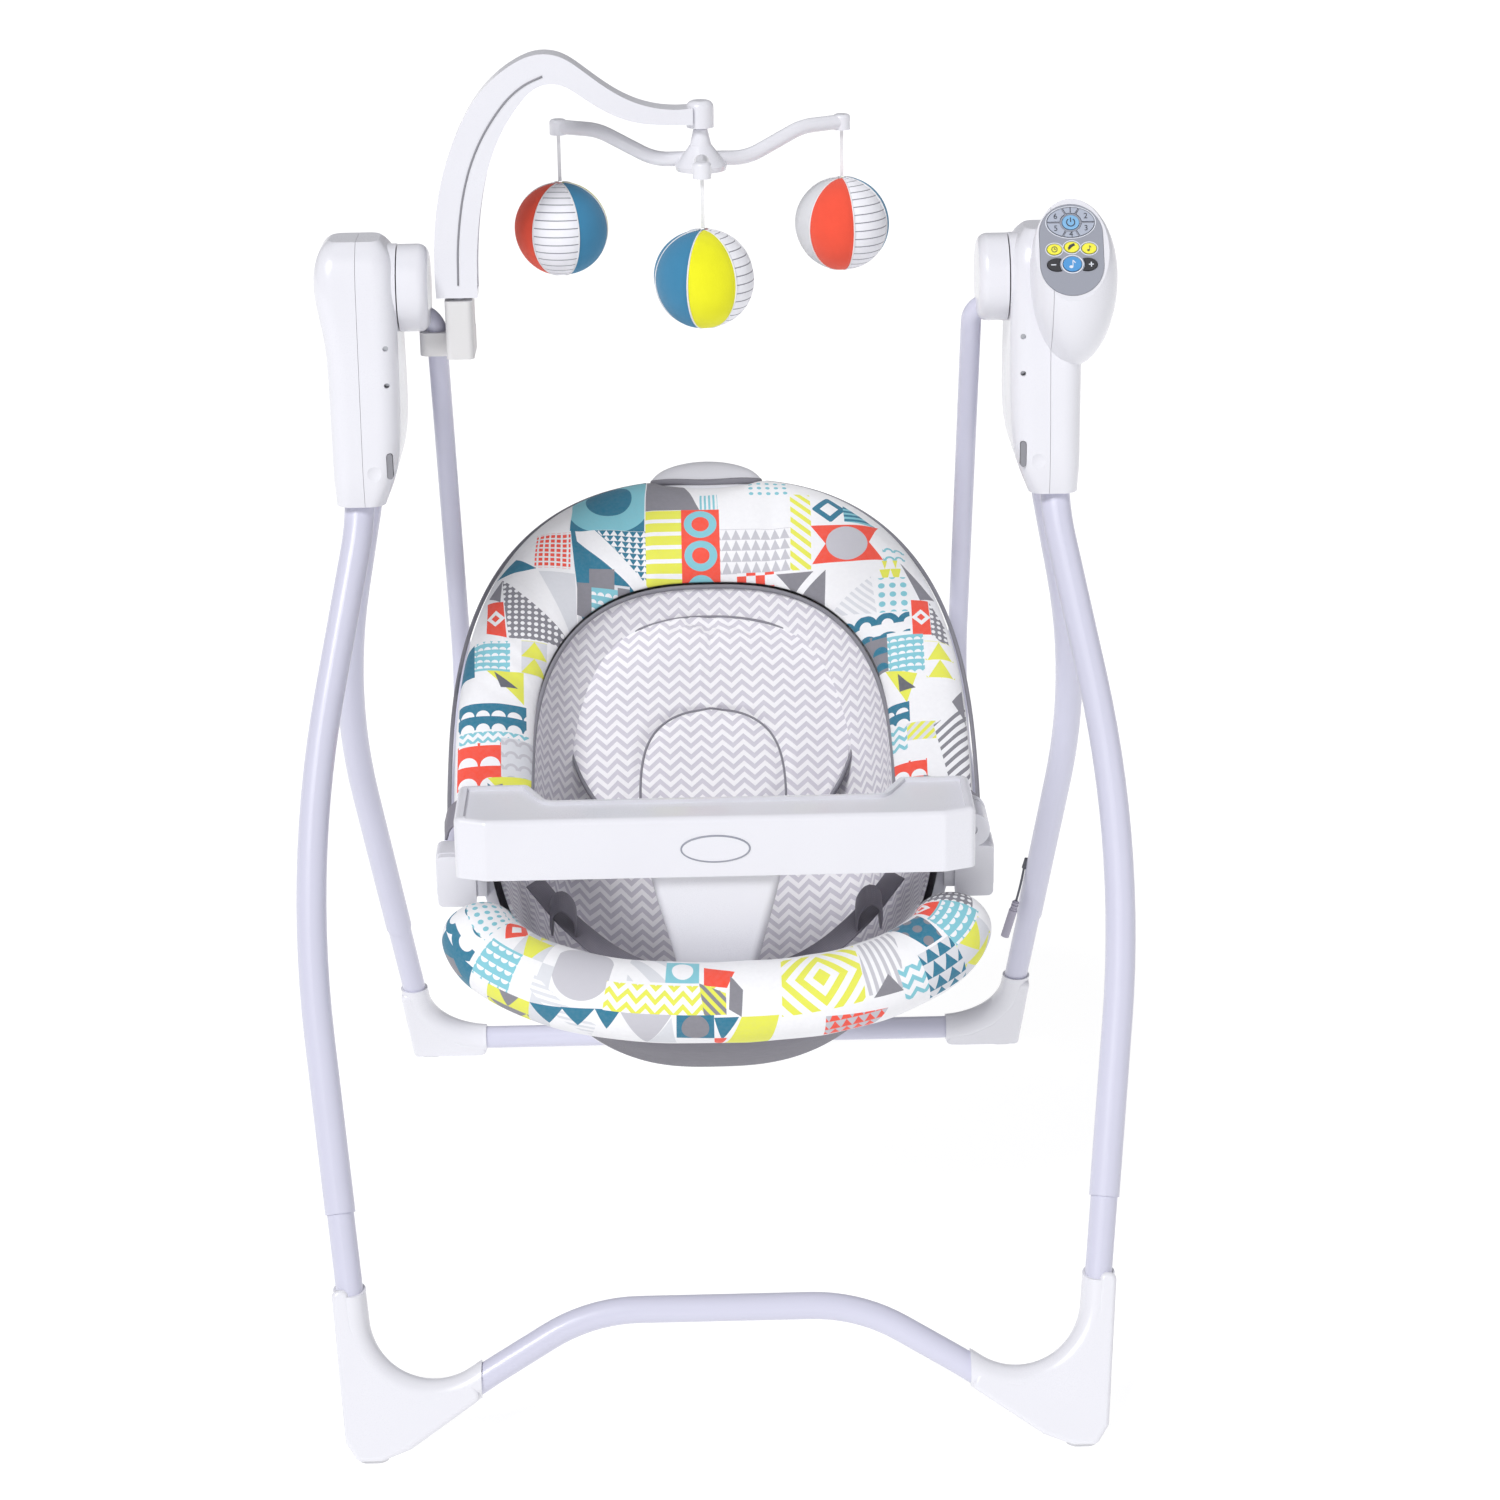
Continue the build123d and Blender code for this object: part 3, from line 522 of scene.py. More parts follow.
# Patches in millimetres on the roll's cloth: along it from its middle, and round it from its top forward.
ROLL_PRINT = [
    (block(-246, -196, -48, -22), "white", "arches", "aqua", 12),
    (block(-246, -200, -22, 8), "white", "dots", "aqua", 8, 0.28),
    (block(-200, -176, -34, 0), "white", "diamond", "coral", 14, 6),
    (block(-240, -200, 8, 30), "white", "arches", "teal", 22, 0.3),
    (block(-226, -196, 30, 64), "teal", "diamond", "grey", 9),
    (block(-196, -166, 2, 34), "white", "scales", "aqua", 7),
    (block(-176, -148, -40, 2), "mist", "triangles", "yellow", 26, 30),
    (block(-182, -148, 34, 62), "yellow", "triangles", "grey", 30, 26),
    (block(-148, -132, 2, 64), "mist", "solid", "mist"),
    ([(-140, -30), (-88, -30), (-92, 26), (-136, 20)], "white", "ring", "pale", 26),
    ([(-150, 12), (-150, 24), (-100, 56), (-96, 40)], "white", "bars", "mist", 5),
    ([(-148, 34), (-122, 30), (-132, 50)], "teal", "solid", "teal"),
    ([(-124, 30), (-98, 26), (-110, 44)], "teal", "solid", "teal"),
    ([(-98, 26), (-78, 24), (-88, 42)], "teal", "solid", "teal"),
    (block(-92, 4, 4, 26), "white", "zigzag", "yellow", 15, 10),
    (block(-76, -44, -34, 2), "mist", "hatch", "white", 20),
    (block(-44, -16, -22, 2), "aqua", "ring", "white", 9),
    ([(-78, 26), (-38, 26), (-58, 58)], "pale", "solid", "pale"),
    ([(-58, 58), (-38, 28), (-34, 60)], "mist", "solid", "mist"),
    (block(-34, -4, 26, 48), "teal", "ring", "grey", 11),
    ([(-12, -14), (14, -8), (7, 6), (-12, 4)], "coral", "slant", "coral", 8),
    ([(-16, 2), (6, 10), (6, 26), (-12, 26)], "yellow", "hatch", "grey", 6),
    ([(10, -4), (20, 8), (18, 28), (8, 22)], "grey", "solid", "grey"),
    ([(-4, 28), (16, 28), (2, 50)], "teal", "solid", "teal"),
    ([(-8, 48), (6, 48), (0, 66)], "coral", "solid", "coral"),
    ([(18, 28), (48, 28), (38, 64), (4, 60)], "yellow", "solid", "yellow"),
    ([(54, -20), (122, -24), (116, 28), (50, 30)], "white", "nested", "yellow", 15),
    ([(124, -22), (162, -24), (146, 28), (116, 25)], "white", "columns", "pale", 6),
    ([(84, 34), (132, 40), (118, 64), (82, 58)], "coral", "triangles", "pale", 9, 9),
    ([(122, 28), (138, 14), (146, 30)], "grey", "solid", "grey"),
    (block(146, 166, 14, 40), "white", "zigzag", "aqua", 12, 10),
    (block(166, 196, 10, 52), "teal", "triangles", "mist", 11, 12),
    ([(160, -30), (196, -24), (192, 8), (176, 8)], "teal", "dots", "grey", 14, 0.3),
    (block(196, 226, -12, 20), "white", "scales", "aqua", 7),
    (block(200, 224, -44, -12), "coral", "diamond", "white", 11, 5),
    (block(226, 250, -40, 14), "grey", "dots", "white", 6, 0.32),
    (block(196, 222, 20, 56), "mist", "triangles", "yellow", 22, 20),
    (block(-34, -4, 48, 66), "white", "solid", "white"),
]


def patch_mask(tree, point, outline):
    """Where a point of the cloth is inside a patch with straight sides, listed clockwise."""
    inside = None
    for (x0, y0), (x1, y1) in zip(outline, outline[1:] + outline[:1]):
        length = math.hypot(x1 - x0, y1 - y0)
        nx, ny = (y1 - y0) / length, (x0 - x1) / length
        dot = tree.nodes.new("ShaderNodeVectorMath")
        dot.operation = "DOT_PRODUCT"
        tree.links.new(point, dot.inputs[0])
        dot.inputs[1].default_value = (nx, ny, -(x0 * nx + y0 * ny) / 1000)
        side = Val(tree, dot.outputs["Value"])
        inside = side if inside is None else inside.both(side)
    return inside > 0.0


def clockwise(outline):
    """The outline in the order that patch_mask expects."""
    turn = sum(a[0] * b[1] - b[0] * a[1] for a, b in zip(outline, outline[1:] + outline[:1]))
    return outline if turn < 0 else outline[::-1]


def printed_cloth(name, patches):
    """White cloth with a patchwork of printed shapes."""
    material, tree, shader = new_material(name)
    u, v = print_coordinates(tree)
    join = tree.nodes.new("ShaderNodeCombineXYZ")
    tree.links.new(u.socket, join.inputs[0])
    tree.links.new(v.socket, join.inputs[1])
    join.inputs[2].default_value = 1.0
    colour = COLOURS["white"]
    for outline, ground, pattern, ink, *sizes in patches:
        mask = patch_mask(tree, join.outputs[0], clockwise(outline))
        fill = COLOURS[ground]
        if pattern != "solid":
            cx = sum(p[0] for p in outline) / len(outline) / 1000
            cy = sum(p[1] for p in outline) / len(outline) / 1000
            scaled = [s / 1000 if s > 1 else s for s in sizes]
            where = PATTERNS[pattern](u - cx, v - cy, *scaled)
            fill = mix(tree, where, COLOURS[ground], COLOURS[ink])
        colour = mix(tree, mask, colour, fill)
    dye = noise(tree, coordinate(tree), 300.0, 4.0) * 0.16
    tree.links.new(mix(tree, dye, colour, srgb("B9B9C2")), shader.inputs["Base Color"])
    cloth_finish(shader)
    weave(tree, shader, u, v, 0.0009, 0.45)
    return material


# ---------------------------------------------------------------- materials
WHITE_PLASTIC = plastic("white_plastic", "E2E2E9", roughness=0.26, coat=0.35, grain=0.12)
WHITE_TUBE = plastic("white_tube", "CDCDDF", roughness=0.30, coat=0.2, grain=0.35)
RUBBER = plastic("rubber_pad", "D6D6DA", roughness=0.75, grain=0.8)
PANEL_GREY = plastic("panel_grey", "9497A3", roughness=0.45, grain=0.4)
BUTTON_GREY = plastic("button_grey", "8B8B92", roughness=0.5, grain=0.5)
CLAMP = plastic("clamp_beige", "DAD9DA", roughness=0.5, grain=0.5)
STEEL = plastic("steel", "B4B6BC", roughness=0.3, metallic=1.0, grain=0.3)
BOARD = plastic("board_green", "2F7A4B", roughness=0.5, spread=0.3)
LEAD = plastic("lead_grey", "5C5D66", roughness=0.6, grain=0.5)
SOCKET = plastic("socket_lilac", "A9A5B5", roughness=0.45, grain=0.4)
KEY_GREY = plastic("key_grey", "A9B0C0", roughness=0.45, grain=0.4)
KEY_BLUE = plastic("key_blue", "7DB2DC", roughness=0.42, grain=0.4)
KEY_MUSIC = plastic("key_music", "4C94D0", roughness=0.42, grain=0.4)
KEY_YELLOW = plastic("key_yellow", "EDE743", roughness=0.42, grain=0.4)
KEY_BLACK = plastic("key_black", "2B2B30", roughness=0.45, grain=0.4)
INK = plastic("key_ink", "3A3D48", roughness=0.6)
PALE_INK = plastic("pale_ink", "DDE1EA", roughness=0.5)
CHEVRON = chevron_cloth("chevron_fabric", 0.0190, 0.0102)
PRINT = printed_cloth("print_fabric", COVER_PRINT)
ROLL_CLOTH = printed_cloth("roll_print_fabric", ROLL_PRINT)
PIPING = plain_cloth("grey_piping", "8A8992")
GUSSET = plain_cloth("grey_gusset", "76747E")
WEBBING = plain_cloth("strap_webbing", "8D8A95", thread=0.0016, spread=0.3)
RIBBON = plain_cloth("ribbon_white", "F1F1F4", thread=0.0006)

NODE_MATERIALS = {
    WHITE_TUBE: ["front_leg", "rear_leg", "front_base_tube", "rear_base_tube", "swing_arm"],
    WHITE_PLASTIC: [
        "housing", "hub", "front_feet", "rear_feet", "seat_shell", "seat_brackets", "tray", "tray_mounts",
        "crotch_post", "mobile_arm", "mobile_spider",
    ],
    RUBBER: ["front_foot_pads", "rear_foot_pads"],
    PANEL_GREY: ["control_panel"],
    BUTTON_GREY: ["fold_button"],
    CLAMP: ["mobile_clamp"],
    STEEL: ["drive_motor", "frame_bolts", "pivot_axles"],
    BOARD: ["circuit_board"],
    LEAD: ["lead_grommet"],
    SOCKET: ["lead_socket"],
    KEY_GREY: ["speed_key"],
    KEY_BLUE: ["power_key"],
    KEY_MUSIC: ["music_key"],
    KEY_YELLOW: ["timer_key", "nature_key", "melody_key"],
    KEY_BLACK: ["volume_down_key", "volume_up_key"],
}


def finish_nodes():
    """Gives every CAD node that stays its procedural material."""
    for material, prefixes in NODE_MATERIALS.items():
        for name, node in NODES.items():
            if any(name.startswith(prefix) for prefix in prefixes):
                for slot in node.material_slots:
                    slot.material = material


finish_nodes()


# ---------------------------------------------------------------- mesh helpers
def make_mesh(name, points, faces, materials, body, slot, uv=None, smooth=True):
    """A mesh piece that rides on a body, with the cloth's flat coordinates per point."""
    mesh = bpy.data.meshes.new(name)
    mesh.from_pydata([tuple(p) for p in points], [], faces)
    if uv is not None:
        layer = mesh.uv_layers.new(name="cloth")
        for loop in mesh.loops:
            layer.data[loop.index].uv = uv[loop.vertex_index]
    mesh.update()
    for face in mesh.polygons:
        face.use_smooth = smooth
    piece = bpy.data.objects.new(name, mesh)
    bpy.context.scene.collection.objects.link(piece)
    for material in materials:
        mesh.materials.append(material)
    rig.ride(piece, body)
    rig.slot(piece, slot)
    return piece


def outward(piece):
    """Turns all faces outward."""
    work = bmesh.new()
    work.from_mesh(piece.data)
    bmesh.ops.recalc_face_normals(work, faces=work.faces)
    work.to_mesh(piece.data)
    work.free()
    return piece


def modify(piece, kind, **settings):
    """Adds a modifier and applies it."""
    modifier = piece.modifiers.new(kind.title(), kind)
    for key, value in settings.items():
        setattr(modifier, key, value)
    bake(piece)
    return piece


def surface_of(piece):
    """A piece's surface, for ray casts and nearest points."""
    mesh = piece.data
    return BVHTree.FromPolygons([v.co.copy() for v in mesh.vertices], [p.vertices[:] for p in mesh.polygons])


def bake(piece):
    """Applies every modifier on a piece."""
    graph = bpy.context.evaluated_depsgraph_get()
    mesh = bpy.data.meshes.new_from_object(piece.evaluated_get(graph), depsgraph=graph)
    piece.modifiers.clear()
    piece.data = mesh
    for face in mesh.polygons:
        face.use_smooth = True


def puff(piece, cap, pressure=4.0, frames=20):
    """Inflates closed cloth a little and lets it wrinkle, with no point moving further than the cap."""
    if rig.quick():
        return
    rest = np.array([v.co for v in piece.data.vertices], float)
    cloth = piece.modifiers.new("Cloth", "CLOTH")
    cloth.settings.use_pressure = True
    cloth.settings.uniform_pressure_force = pressure
    cloth.settings.effector_weights.gravity = 0
    cloth.settings.tension_stiffness = 12
    cloth.settings.bending_stiffness = 0.6
    for step in range(1, frames + 1):
        bpy.context.scene.frame_set(step)
    graph = bpy.context.evaluated_depsgraph_get()
    shaped = piece.evaluated_get(graph).data
    moved = np.array([v.co for v in shaped.vertices], float) - rest
    piece.modifiers.clear()
    bpy.context.scene.frame_set(1)
    length = np.linalg.norm(moved, axis=1, keepdims=True)
    moved *= np.minimum(1.0, cap / np.maximum(length, 1e-9))
    piece.data.vertices.foreach_set("co", (rest + moved).astype(np.float32).ravel())
    piece.data.update()


def strip_faces(rows, columns, closed=True):
    """Quads between rows of points, each row closed on itself if asked."""
    faces = []
    last = columns if closed else columns - 1
    for row in range(rows - 1):
        for column in range(last):
            after = (column + 1) % columns
            faces.append(
                (
                    row * columns + column,
                    row * columns + after,
                    (row + 1) * columns + after,
                    (row + 1) * columns + column,
                )
            )
    return faces


def resample(points, count):
    """Points spaced evenly along a line of points."""
    points = np.array([tuple(p) for p in points], float)
    reach = np.concatenate([[0], np.cumsum(np.linalg.norm(np.diff(points, axis=0), axis=1))])
    steps = np.linspace(0, reach[-1], count)
    return [Vector([np.interp(s, reach, points[:, axis]) for axis in range(3)]) for s in steps]


def smooth_line(points, passes=4):
    """A rounder line inside the corners of a coarse one, with the same ends."""
    line = [Vector(p) for p in points]
    for _ in range(passes):
        finer = [line[0]]
        for a, b in zip(line, line[1:]):
            finer += [a.lerp(b, 0.25), a.lerp(b, 0.75)]
        line = finer + [line[-1]]
    return line


def piping(name, points, radius, material, body, slot, closed=False, sides=10):
    """A round cord sewn along a line, with closed ends."""
    count = len(points)
    ring, uv, run = [], [], 0.0
    across = None
    for index, point in enumerate(points):
        ahead = points[(index + 1) % count] if closed or index < count - 1 else point
        behind = points[index - 1] if closed or index > 0 else point
        run += (point - behind).length if index else 0.0
        along = (ahead - behind).normalized()
        guide = across if across else along.orthogonal()
        across = (guide - along * guide.dot(along)).normalized()
        up = along.cross(across)
        for side in range(sides):
            angle = 2 * math.pi * side / sides
            ring.append(point + radius * (math.cos(angle) * across + math.sin(angle) * up))
            uv.append((run, radius * angle))
    faces = strip_faces(count, sides)
    if closed:
        base = (count - 1) * sides
        faces += [(base + s, base + (s + 1) % sides, (s + 1) % sides, s) for s in range(sides)]
    else:
        faces += [tuple(range(sides))[::-1], tuple((count - 1) * sides + s for s in range(sides))]
    return make_mesh(name, ring, faces, [material], body, slot, uv)


def on_seat(x, up, out=0.0):
    """A point from its X, its distance up the seat and its distance out of the rim's plane."""
    return SEAT_ORIGIN + Vector((x, 0, 0)) + up * SEAT_UP + out * SEAT_OUT


def on_back(x, up, out=0.0):
    """A point from its X, its distance up the tub's back and its distance out of it."""
    return BACK_ORIGIN + Vector((x, 0, 0)) + up * BACK_UP + out * BACK_OUT


def on_panel(x, up, out=0.0):
    """A point from its X, its distance up the control panel and its distance out of it."""
    return PANEL_CENTRE + Vector((x, 0, 0)) + up * PANEL_UP + out * PANEL_OUT


def rim_point(angle, half_width, upper, lower, middle=RIM_MIDDLE):
    """A point of an egg outline in the seat's plane."""
    across = math.copysign(abs(math.cos(angle)) ** (2 / RIM_POWER), math.cos(angle))
    up = math.copysign(abs(math.sin(angle)) ** (2 / RIM_POWER), math.sin(angle))
    reach = upper - middle if up >= 0 else middle - lower
    return half_width * across, middle + reach * up


# ---------------------------------------------------------------- quilted seat cover
COVER_OUTER = (0.230, 0.297, -0.302)
COVER_INNER = (0.160, 0.172, -0.330)
NOTCH_HALF = 0.052
NOTCH_DEPTH = 0.011
COVER_ENDS = (-0.078, math.pi + 0.078)
COVER_STATIONS = 150
COVER_HEIGHT = 0.021
# Across the band: share of its width from the outer edge, and share of its height
COVER_SECTION = [
    (0.000, 0.10), (0.004, 0.32), (0.020, 0.56), (0.050, 0.74), (0.10, 0.87), (0.17, 0.95), (0.26, 0.99),
    (0.36, 1.00), (0.46, 0.99), (0.56, 0.95), (0.66, 0.88), (0.76, 0.76), (0.86, 0.58), (0.94, 0.38),
    (0.985, 0.20), (1.000, 0.06), (0.97, 0.00), (0.90, 0.00), (0.75, 0.00), (0.60, 0.00), (0.45, 0.00),
    (0.30, 0.00), (0.15, 0.00), (0.03, 0.00),
]
COVER_TOP_COLUMNS = 16
COVER_WALL_COLUMNS = 4
COVER_CLEAR = 0.0006


def cover_edges():
    """Matching points along the cover's outer and inner edges."""
    outer, inner = [], []
    for step in range(600):
        angle = COVER_ENDS[0] + (COVER_ENDS[1] - COVER_ENDS[0]) * step / 599
        x, up = rim_point(angle, *COVER_OUTER)
        if up > 0 and abs(x) < NOTCH_HALF:
            up -= NOTCH_DEPTH * math.cos(x / NOTCH_HALF * math.pi / 2) ** 0.6
        outer.append(Vector((x, up, 0)))
        inner.append(Vector((*rim_point(angle, *COVER_INNER), 0)))
    return resample(outer, COVER_STATIONS), resample(inner, COVER_STATIONS)


def quilt(share_along, share_across):
    """How far the cover dips where its stitching and creases pull it in."""
    tuck = 0.0
    for place, depth, slant in CREASES:
        near = (share_along - place - slant * (share_across - 0.5)) / CREASE_SPREAD
        tuck += depth * math.exp(-near * near) * math.sin(math.pi * min(max(share_across, 0), 1))
    return tuck


# Each crease: where it is along the cover, its depth and its slant
CREASES = [
    (random.uniform(0.02, 0.98), random.uniform(0.001, 0.0022), random.uniform(-0.02, 0.02))
    for _ in range(26)
]
CREASE_SPREAD = 0.006


def seat_cover():
    """The quilted band round the tub, its notch binding and its two lines of piping."""
    outer, inner = cover_edges()
    points, uv = [], []
    columns = len(COVER_SECTION)
    for index, (edge, lip) in enumerate(zip(outer, inner)):
        share_along = index / (COVER_STATIONS - 1)
        end = min(1.0, 6.0 * min(share_along, 1 - share_along) + 0.45)
        for column, (share, height) in enumerate(COVER_SECTION):
            flat = edge.lerp(lip, share)
            out = COVER_CLEAR + COVER_HEIGHT * height * end
            if column < COVER_TOP_COLUMNS:
                out -= quilt(share_along, share)
            points.append(on_seat(flat.x, flat.y, max(out, COVER_CLEAR)))
            away = (edge - lip).normalized()
            wall = COVER_HEIGHT * max(0.0, 0.74 - height) if column < COVER_WALL_COLUMNS else 0.0
            uv.append((flat.x + away.x * wall, flat.y + away.y * wall))
    faces = strip_faces(COVER_STATIONS, columns)
    faces += [tuple(range(columns))[::-1], tuple((COVER_STATIONS - 1) * columns + c for c in range(columns))]
    piece = make_mesh("seat_cover_quilt", points, faces, [PRINT], "seat", "print_fabric", uv)
    outward(piece)
    modify(piece, "SUBSURF", levels=1)
    puff(piece, 0.003)
    modify(piece, "SUBSURF", levels=1)
    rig.replaces(piece, "seat_cover")
    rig.padded(piece, fill=0.55)
    edge_line = [on_seat(p.x * 1.004, p.y + 0.0005, 0.0026) for p in outer]
    lip_line = [on_seat(p.x * 0.992, p.y - 0.0012, 0.0032) for p in inner]
    notch = [
        on_seat(p.x, p.y - 0.0020, 0.0165 - 0.009 * (p.x / NOTCH_HALF) ** 4)
        for p in outer if p.y > 0 and abs(p.x) < NOTCH_HALF
    ]
    piping("cover_notch_binding", notch, 0.0030, PIPING, "seat", "strap_webbing")
    piping("cover_outer_piping", edge_line, 0.0019, PIPING, "seat", "strap_webbing")
    piping("cover_inner_piping", lip_line, 0.0021, PIPING, "seat", "strap_webbing")


seat_cover()


# ---------------------------------------------------------------- chevron liner
LINER_ROWS = 34
# Where the liner's rays start, as X, up the seat and out of it
LINER_CENTRE = (0.0, -0.075, -0.062)
LINER_FRONT = (0.192, 0.30, -0.286)


def seat_liner():
    """The chevron cloth from the cover's inner edge down the tub, with its front rim under the roll."""
    tub = surface_of(NODES["seat_liner"])
    centre = LINER_CENTRE
    upper = []
    for step in range(90):
        angle = COVER_ENDS[0] + (COVER_ENDS[1] - COVER_ENDS[0]) * step / 89
        upper.append(rim_point(angle, *COVER_INNER))
    lower = []
    for step in range(1, 40):
        angle = COVER_ENDS[1] + (math.pi - 2 * 0.078) * step / 40
        lower.append(rim_point(angle, *LINER_FRONT))
    around = [Vector((x, y, 0)) for x, y in upper + lower]
    around = resample(around + [around[0]], 141)[:-1]
    rows = []
    for row in range(LINER_ROWS):
        share = row / (LINER_ROWS - 1)
        line = []
        for start in around:
            pitch = share * math.pi / 2 * 0.985
            aim = Vector((start.x, start.y - centre[1], 0)).normalized() * math.cos(pitch)
            direction = aim.x * Vector((1, 0, 0)) + aim.y * SEAT_UP - math.sin(pitch) * SEAT_OUT
            origin = on_seat(*centre)
            wall = tub.ray_cast(origin, direction.normalized())[0] or on_seat(start.x, start.y, -0.002)
            hanging = on_seat(start.x, start.y, 0.0015)
            blend = min(1.0, share / 0.30)
            blend = blend * blend * (3 - 2 * blend)
            line.append(hanging.lerp(wall, blend))
        rows.append(line)
    count = len(around)
    points = [p for line in rows for p in line]
    uv = [None] * len(points)
    for column, start in enumerate(around):
        way = (start - Vector((centre[0], centre[1], 0))).normalized()
        run = 0.0
        for row in reversed(range(LINER_ROWS)):
            p = rows[row][column]
            if row < LINER_ROWS - 1:
                run += (p - rows[row + 1][column]).length
            flat = math.hypot(p.x - centre[0], (p - SEAT_ORIGIN).dot(SEAT_UP) - centre[1])
            spread = way.x * abs(way.x) * max(0.0, run - flat)
            uv[row * count + column] = (p.x + spread, centre[1] + way.y * run)
    faces = strip_faces(LINER_ROWS, count)
    faces.append(tuple((LINER_ROWS - 1) * count + c for c in range(count)))
    piece = make_mesh("seat_liner_cloth", points, faces, [CHEVRON], "seat", "chevron_fabric", uv)
    outward(piece)
    modify(piece, "SUBSURF", levels=1)
    modify(piece, "SOLIDIFY", thickness=0.003, offset=0.0)
    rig.replaces(piece, "seat_liner")
    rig.padded(piece, fill=0.2)


seat_liner()


# ---------------------------------------------------------------- infant support
SUPPORT_HALF_WIDTH = 0.135
SUPPORT_REACH = (0.090, 0.142)
SUPPORT_CENTRE_UP = 0.042
SUPPORT_T = 0.029
# The sewn arch, in millimetres from its foot on the left over its top
ARCH = [
    (-66, -150), (-66, -60), (-65, -12), (-55, 17), (-33, 35), (0, 41),
    (33, 35), (55, 17), (65, -12), (66, -60), (66, -150),
]


def support_edge(angle, share):
    """A point of the cushion's plan: a flatter half above its middle and a longer half below."""
    reach = SUPPORT_REACH[0] if math.sin(angle) >= 0 else SUPPORT_REACH[1]
    return SUPPORT_HALF_WIDTH * share * math.cos(angle), SUPPORT_CENTRE_UP + reach * share * math.sin(angle)


def infant_support():
    """A round crowned cushion with a dark gusset, a top piping and a sewn arch."""
    rings = 26
    spokes = 96
    arch = resample(smooth_line([(x / 1000, y / 1000, 0) for x, y in ARCH], 3), 160)
    points, uv, faces = [], [], []
    profile = [(r / rings) ** 0.8 for r in range(1, rings + 1)]
    points.append(on_back(0, SUPPORT_CENTRE_UP, SUPPORT_T))
    uv.append((0.0, SUPPORT_CENTRE_UP))
    for reach in profile:
        crown = SUPPORT_T * (0.74 + 0.26 * math.sqrt(max(0.0, 1 - reach**6)))
        for spoke in range(spokes):
            angle = 2 * math.pi * spoke / spokes
            x, y = support_edge(angle, reach)
            away = min((Vector((x, y, 0)) - p).length for p in arch)
            dip = 0.0045 * math.exp(-((away / 0.0035) ** 2)) + 0.002 * math.exp(-((away / 0.014) ** 2))
            points.append(on_back(x, y, crown - dip))
            uv.append((x, y))
    top_count = len(points)
    for level, shrink in ((0.45, 1.0), (0.12, 0.995), (0.0, 0.97), (0.0, 0.5)):
        for spoke in range(spokes):
            angle = 2 * math.pi * spoke / spokes
            x, y = support_edge(angle, shrink)
            points.append(on_back(x, y, SUPPORT_T * level + 0.0006))
            uv.append((angle * 0.14, level * SUPPORT_T))
    faces += [(0, 1 + s, 1 + (s + 1) % spokes) for s in range(spokes)]
    faces += [tuple(i + 1 for i in face) for face in strip_faces(rings + 4, spokes)]
    last = 1 + (rings + 3) * spokes
    faces.append(tuple(last + s for s in range(spokes)))
    cloths = [CHEVRON, GUSSET]
    piece = make_mesh("infant_support_cushion", points, faces, cloths, "seat", "chevron_fabric", uv)
    for face in piece.data.polygons:
        if min(face.vertices) >= top_count - spokes:
            face.material_index = 1
    outward(piece)
    modify(piece, "SUBSURF", levels=1)
    puff(piece, 0.004)
    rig.replaces(piece, "infant_support")
    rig.padded(piece, fill=0.7)
    surface = surface_of(piece)
    rim_line = []
    for spoke in range(120):
        angle = 2 * math.pi * spoke / 120
        x, y = support_edge(angle, 1.004)
        rim_line.append(surface.find_nearest(on_back(x, y, SUPPORT_T * 0.72))[0])
    piping("support_piping", rim_line, 0.0017, PIPING, "seat", "strap_webbing", closed=True)
    seam = [surface.ray_cast(on_back(p.x, p.y, 0.08), -BACK_OUT)[0] for p in arch if p.y > -0.075]
    piping("support_seam", seam, 0.0011, PIPING, "seat", "strap_webbing")


infant_support()


# ---------------------------------------------------------------- front roll
ROLL = [(-207, -178), (-195, -227), (-112, -269), (0, -278), (112, -269), (195, -227), (207, -178)]
ROLL_R = 0.0345
ROLL_LIFT = 0.005
ROLL_STATIONS = 120


def front_roll():
    """The stuffed roll over the seat's front edge, with a grey band along its underside."""
    line = resample(smooth_line([on_seat(x / 1000, y / 1000, ROLL_LIFT) for x, y in ROLL], 4), ROLL_STATIONS)
    around = 40
    points, uv, band = [], [], []
    total = sum((b - a).length for a, b in zip(line, line[1:]))
    for index, centre in enumerate(line):
        ahead = line[min(index + 1, ROLL_STATIONS - 1)]
        behind = line[max(index - 1, 0)]
        along = (ahead - behind).normalized()
        front = along.cross(SEAT_OUT).normalized()
        run = (index / (ROLL_STATIONS - 1) - 0.5) * total
        end = min(index, ROLL_STATIONS - 1 - index) / 7
        radius = ROLL_R * math.sqrt(max(0.05, 1 - max(0.0, 1 - end) ** 2))
        for side in range(around):
            angle = -math.pi + 2 * math.pi * side / around
            ripple = 1 - 0.018 * abs(math.sin(run / 0.019 + 1.3 * math.sin(angle * 2 + run * 11)))
            reach = radius * ripple
            points.append(centre + reach * (math.cos(angle) * SEAT_OUT + math.sin(angle) * front))
            uv.append((run, angle * 0.030))
    faces = strip_faces(ROLL_STATIONS, around)
    faces += [tuple(range(around))[::-1], tuple((ROLL_STATIONS - 1) * around + s for s in range(around))]
    piece = make_mesh("front_roll_cushion", points, faces, [ROLL_CLOTH, GUSSET], "seat", "print_fabric", uv)
    for face in piece.data.polygons:
        side = face.vertices[0] % around
        angle = -math.pi + 2 * math.pi * side / around
        if angle > 2.25 or angle < -1.9:
            face.material_index = 1
    outward(piece)
    modify(piece, "SUBSURF", levels=1)
    puff(piece, 0.003)
    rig.replaces(piece, "front_bolster")
    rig.padded(piece, fill=0.8)


front_roll()


# ---------------------------------------------------------------- grey cloth under the roll, and the lip
UNDER_HALF = 0.128
UNDER_TOP = 0.325
UNDER_DROP = 0.085
UNDER_CLEAR = 0.0028


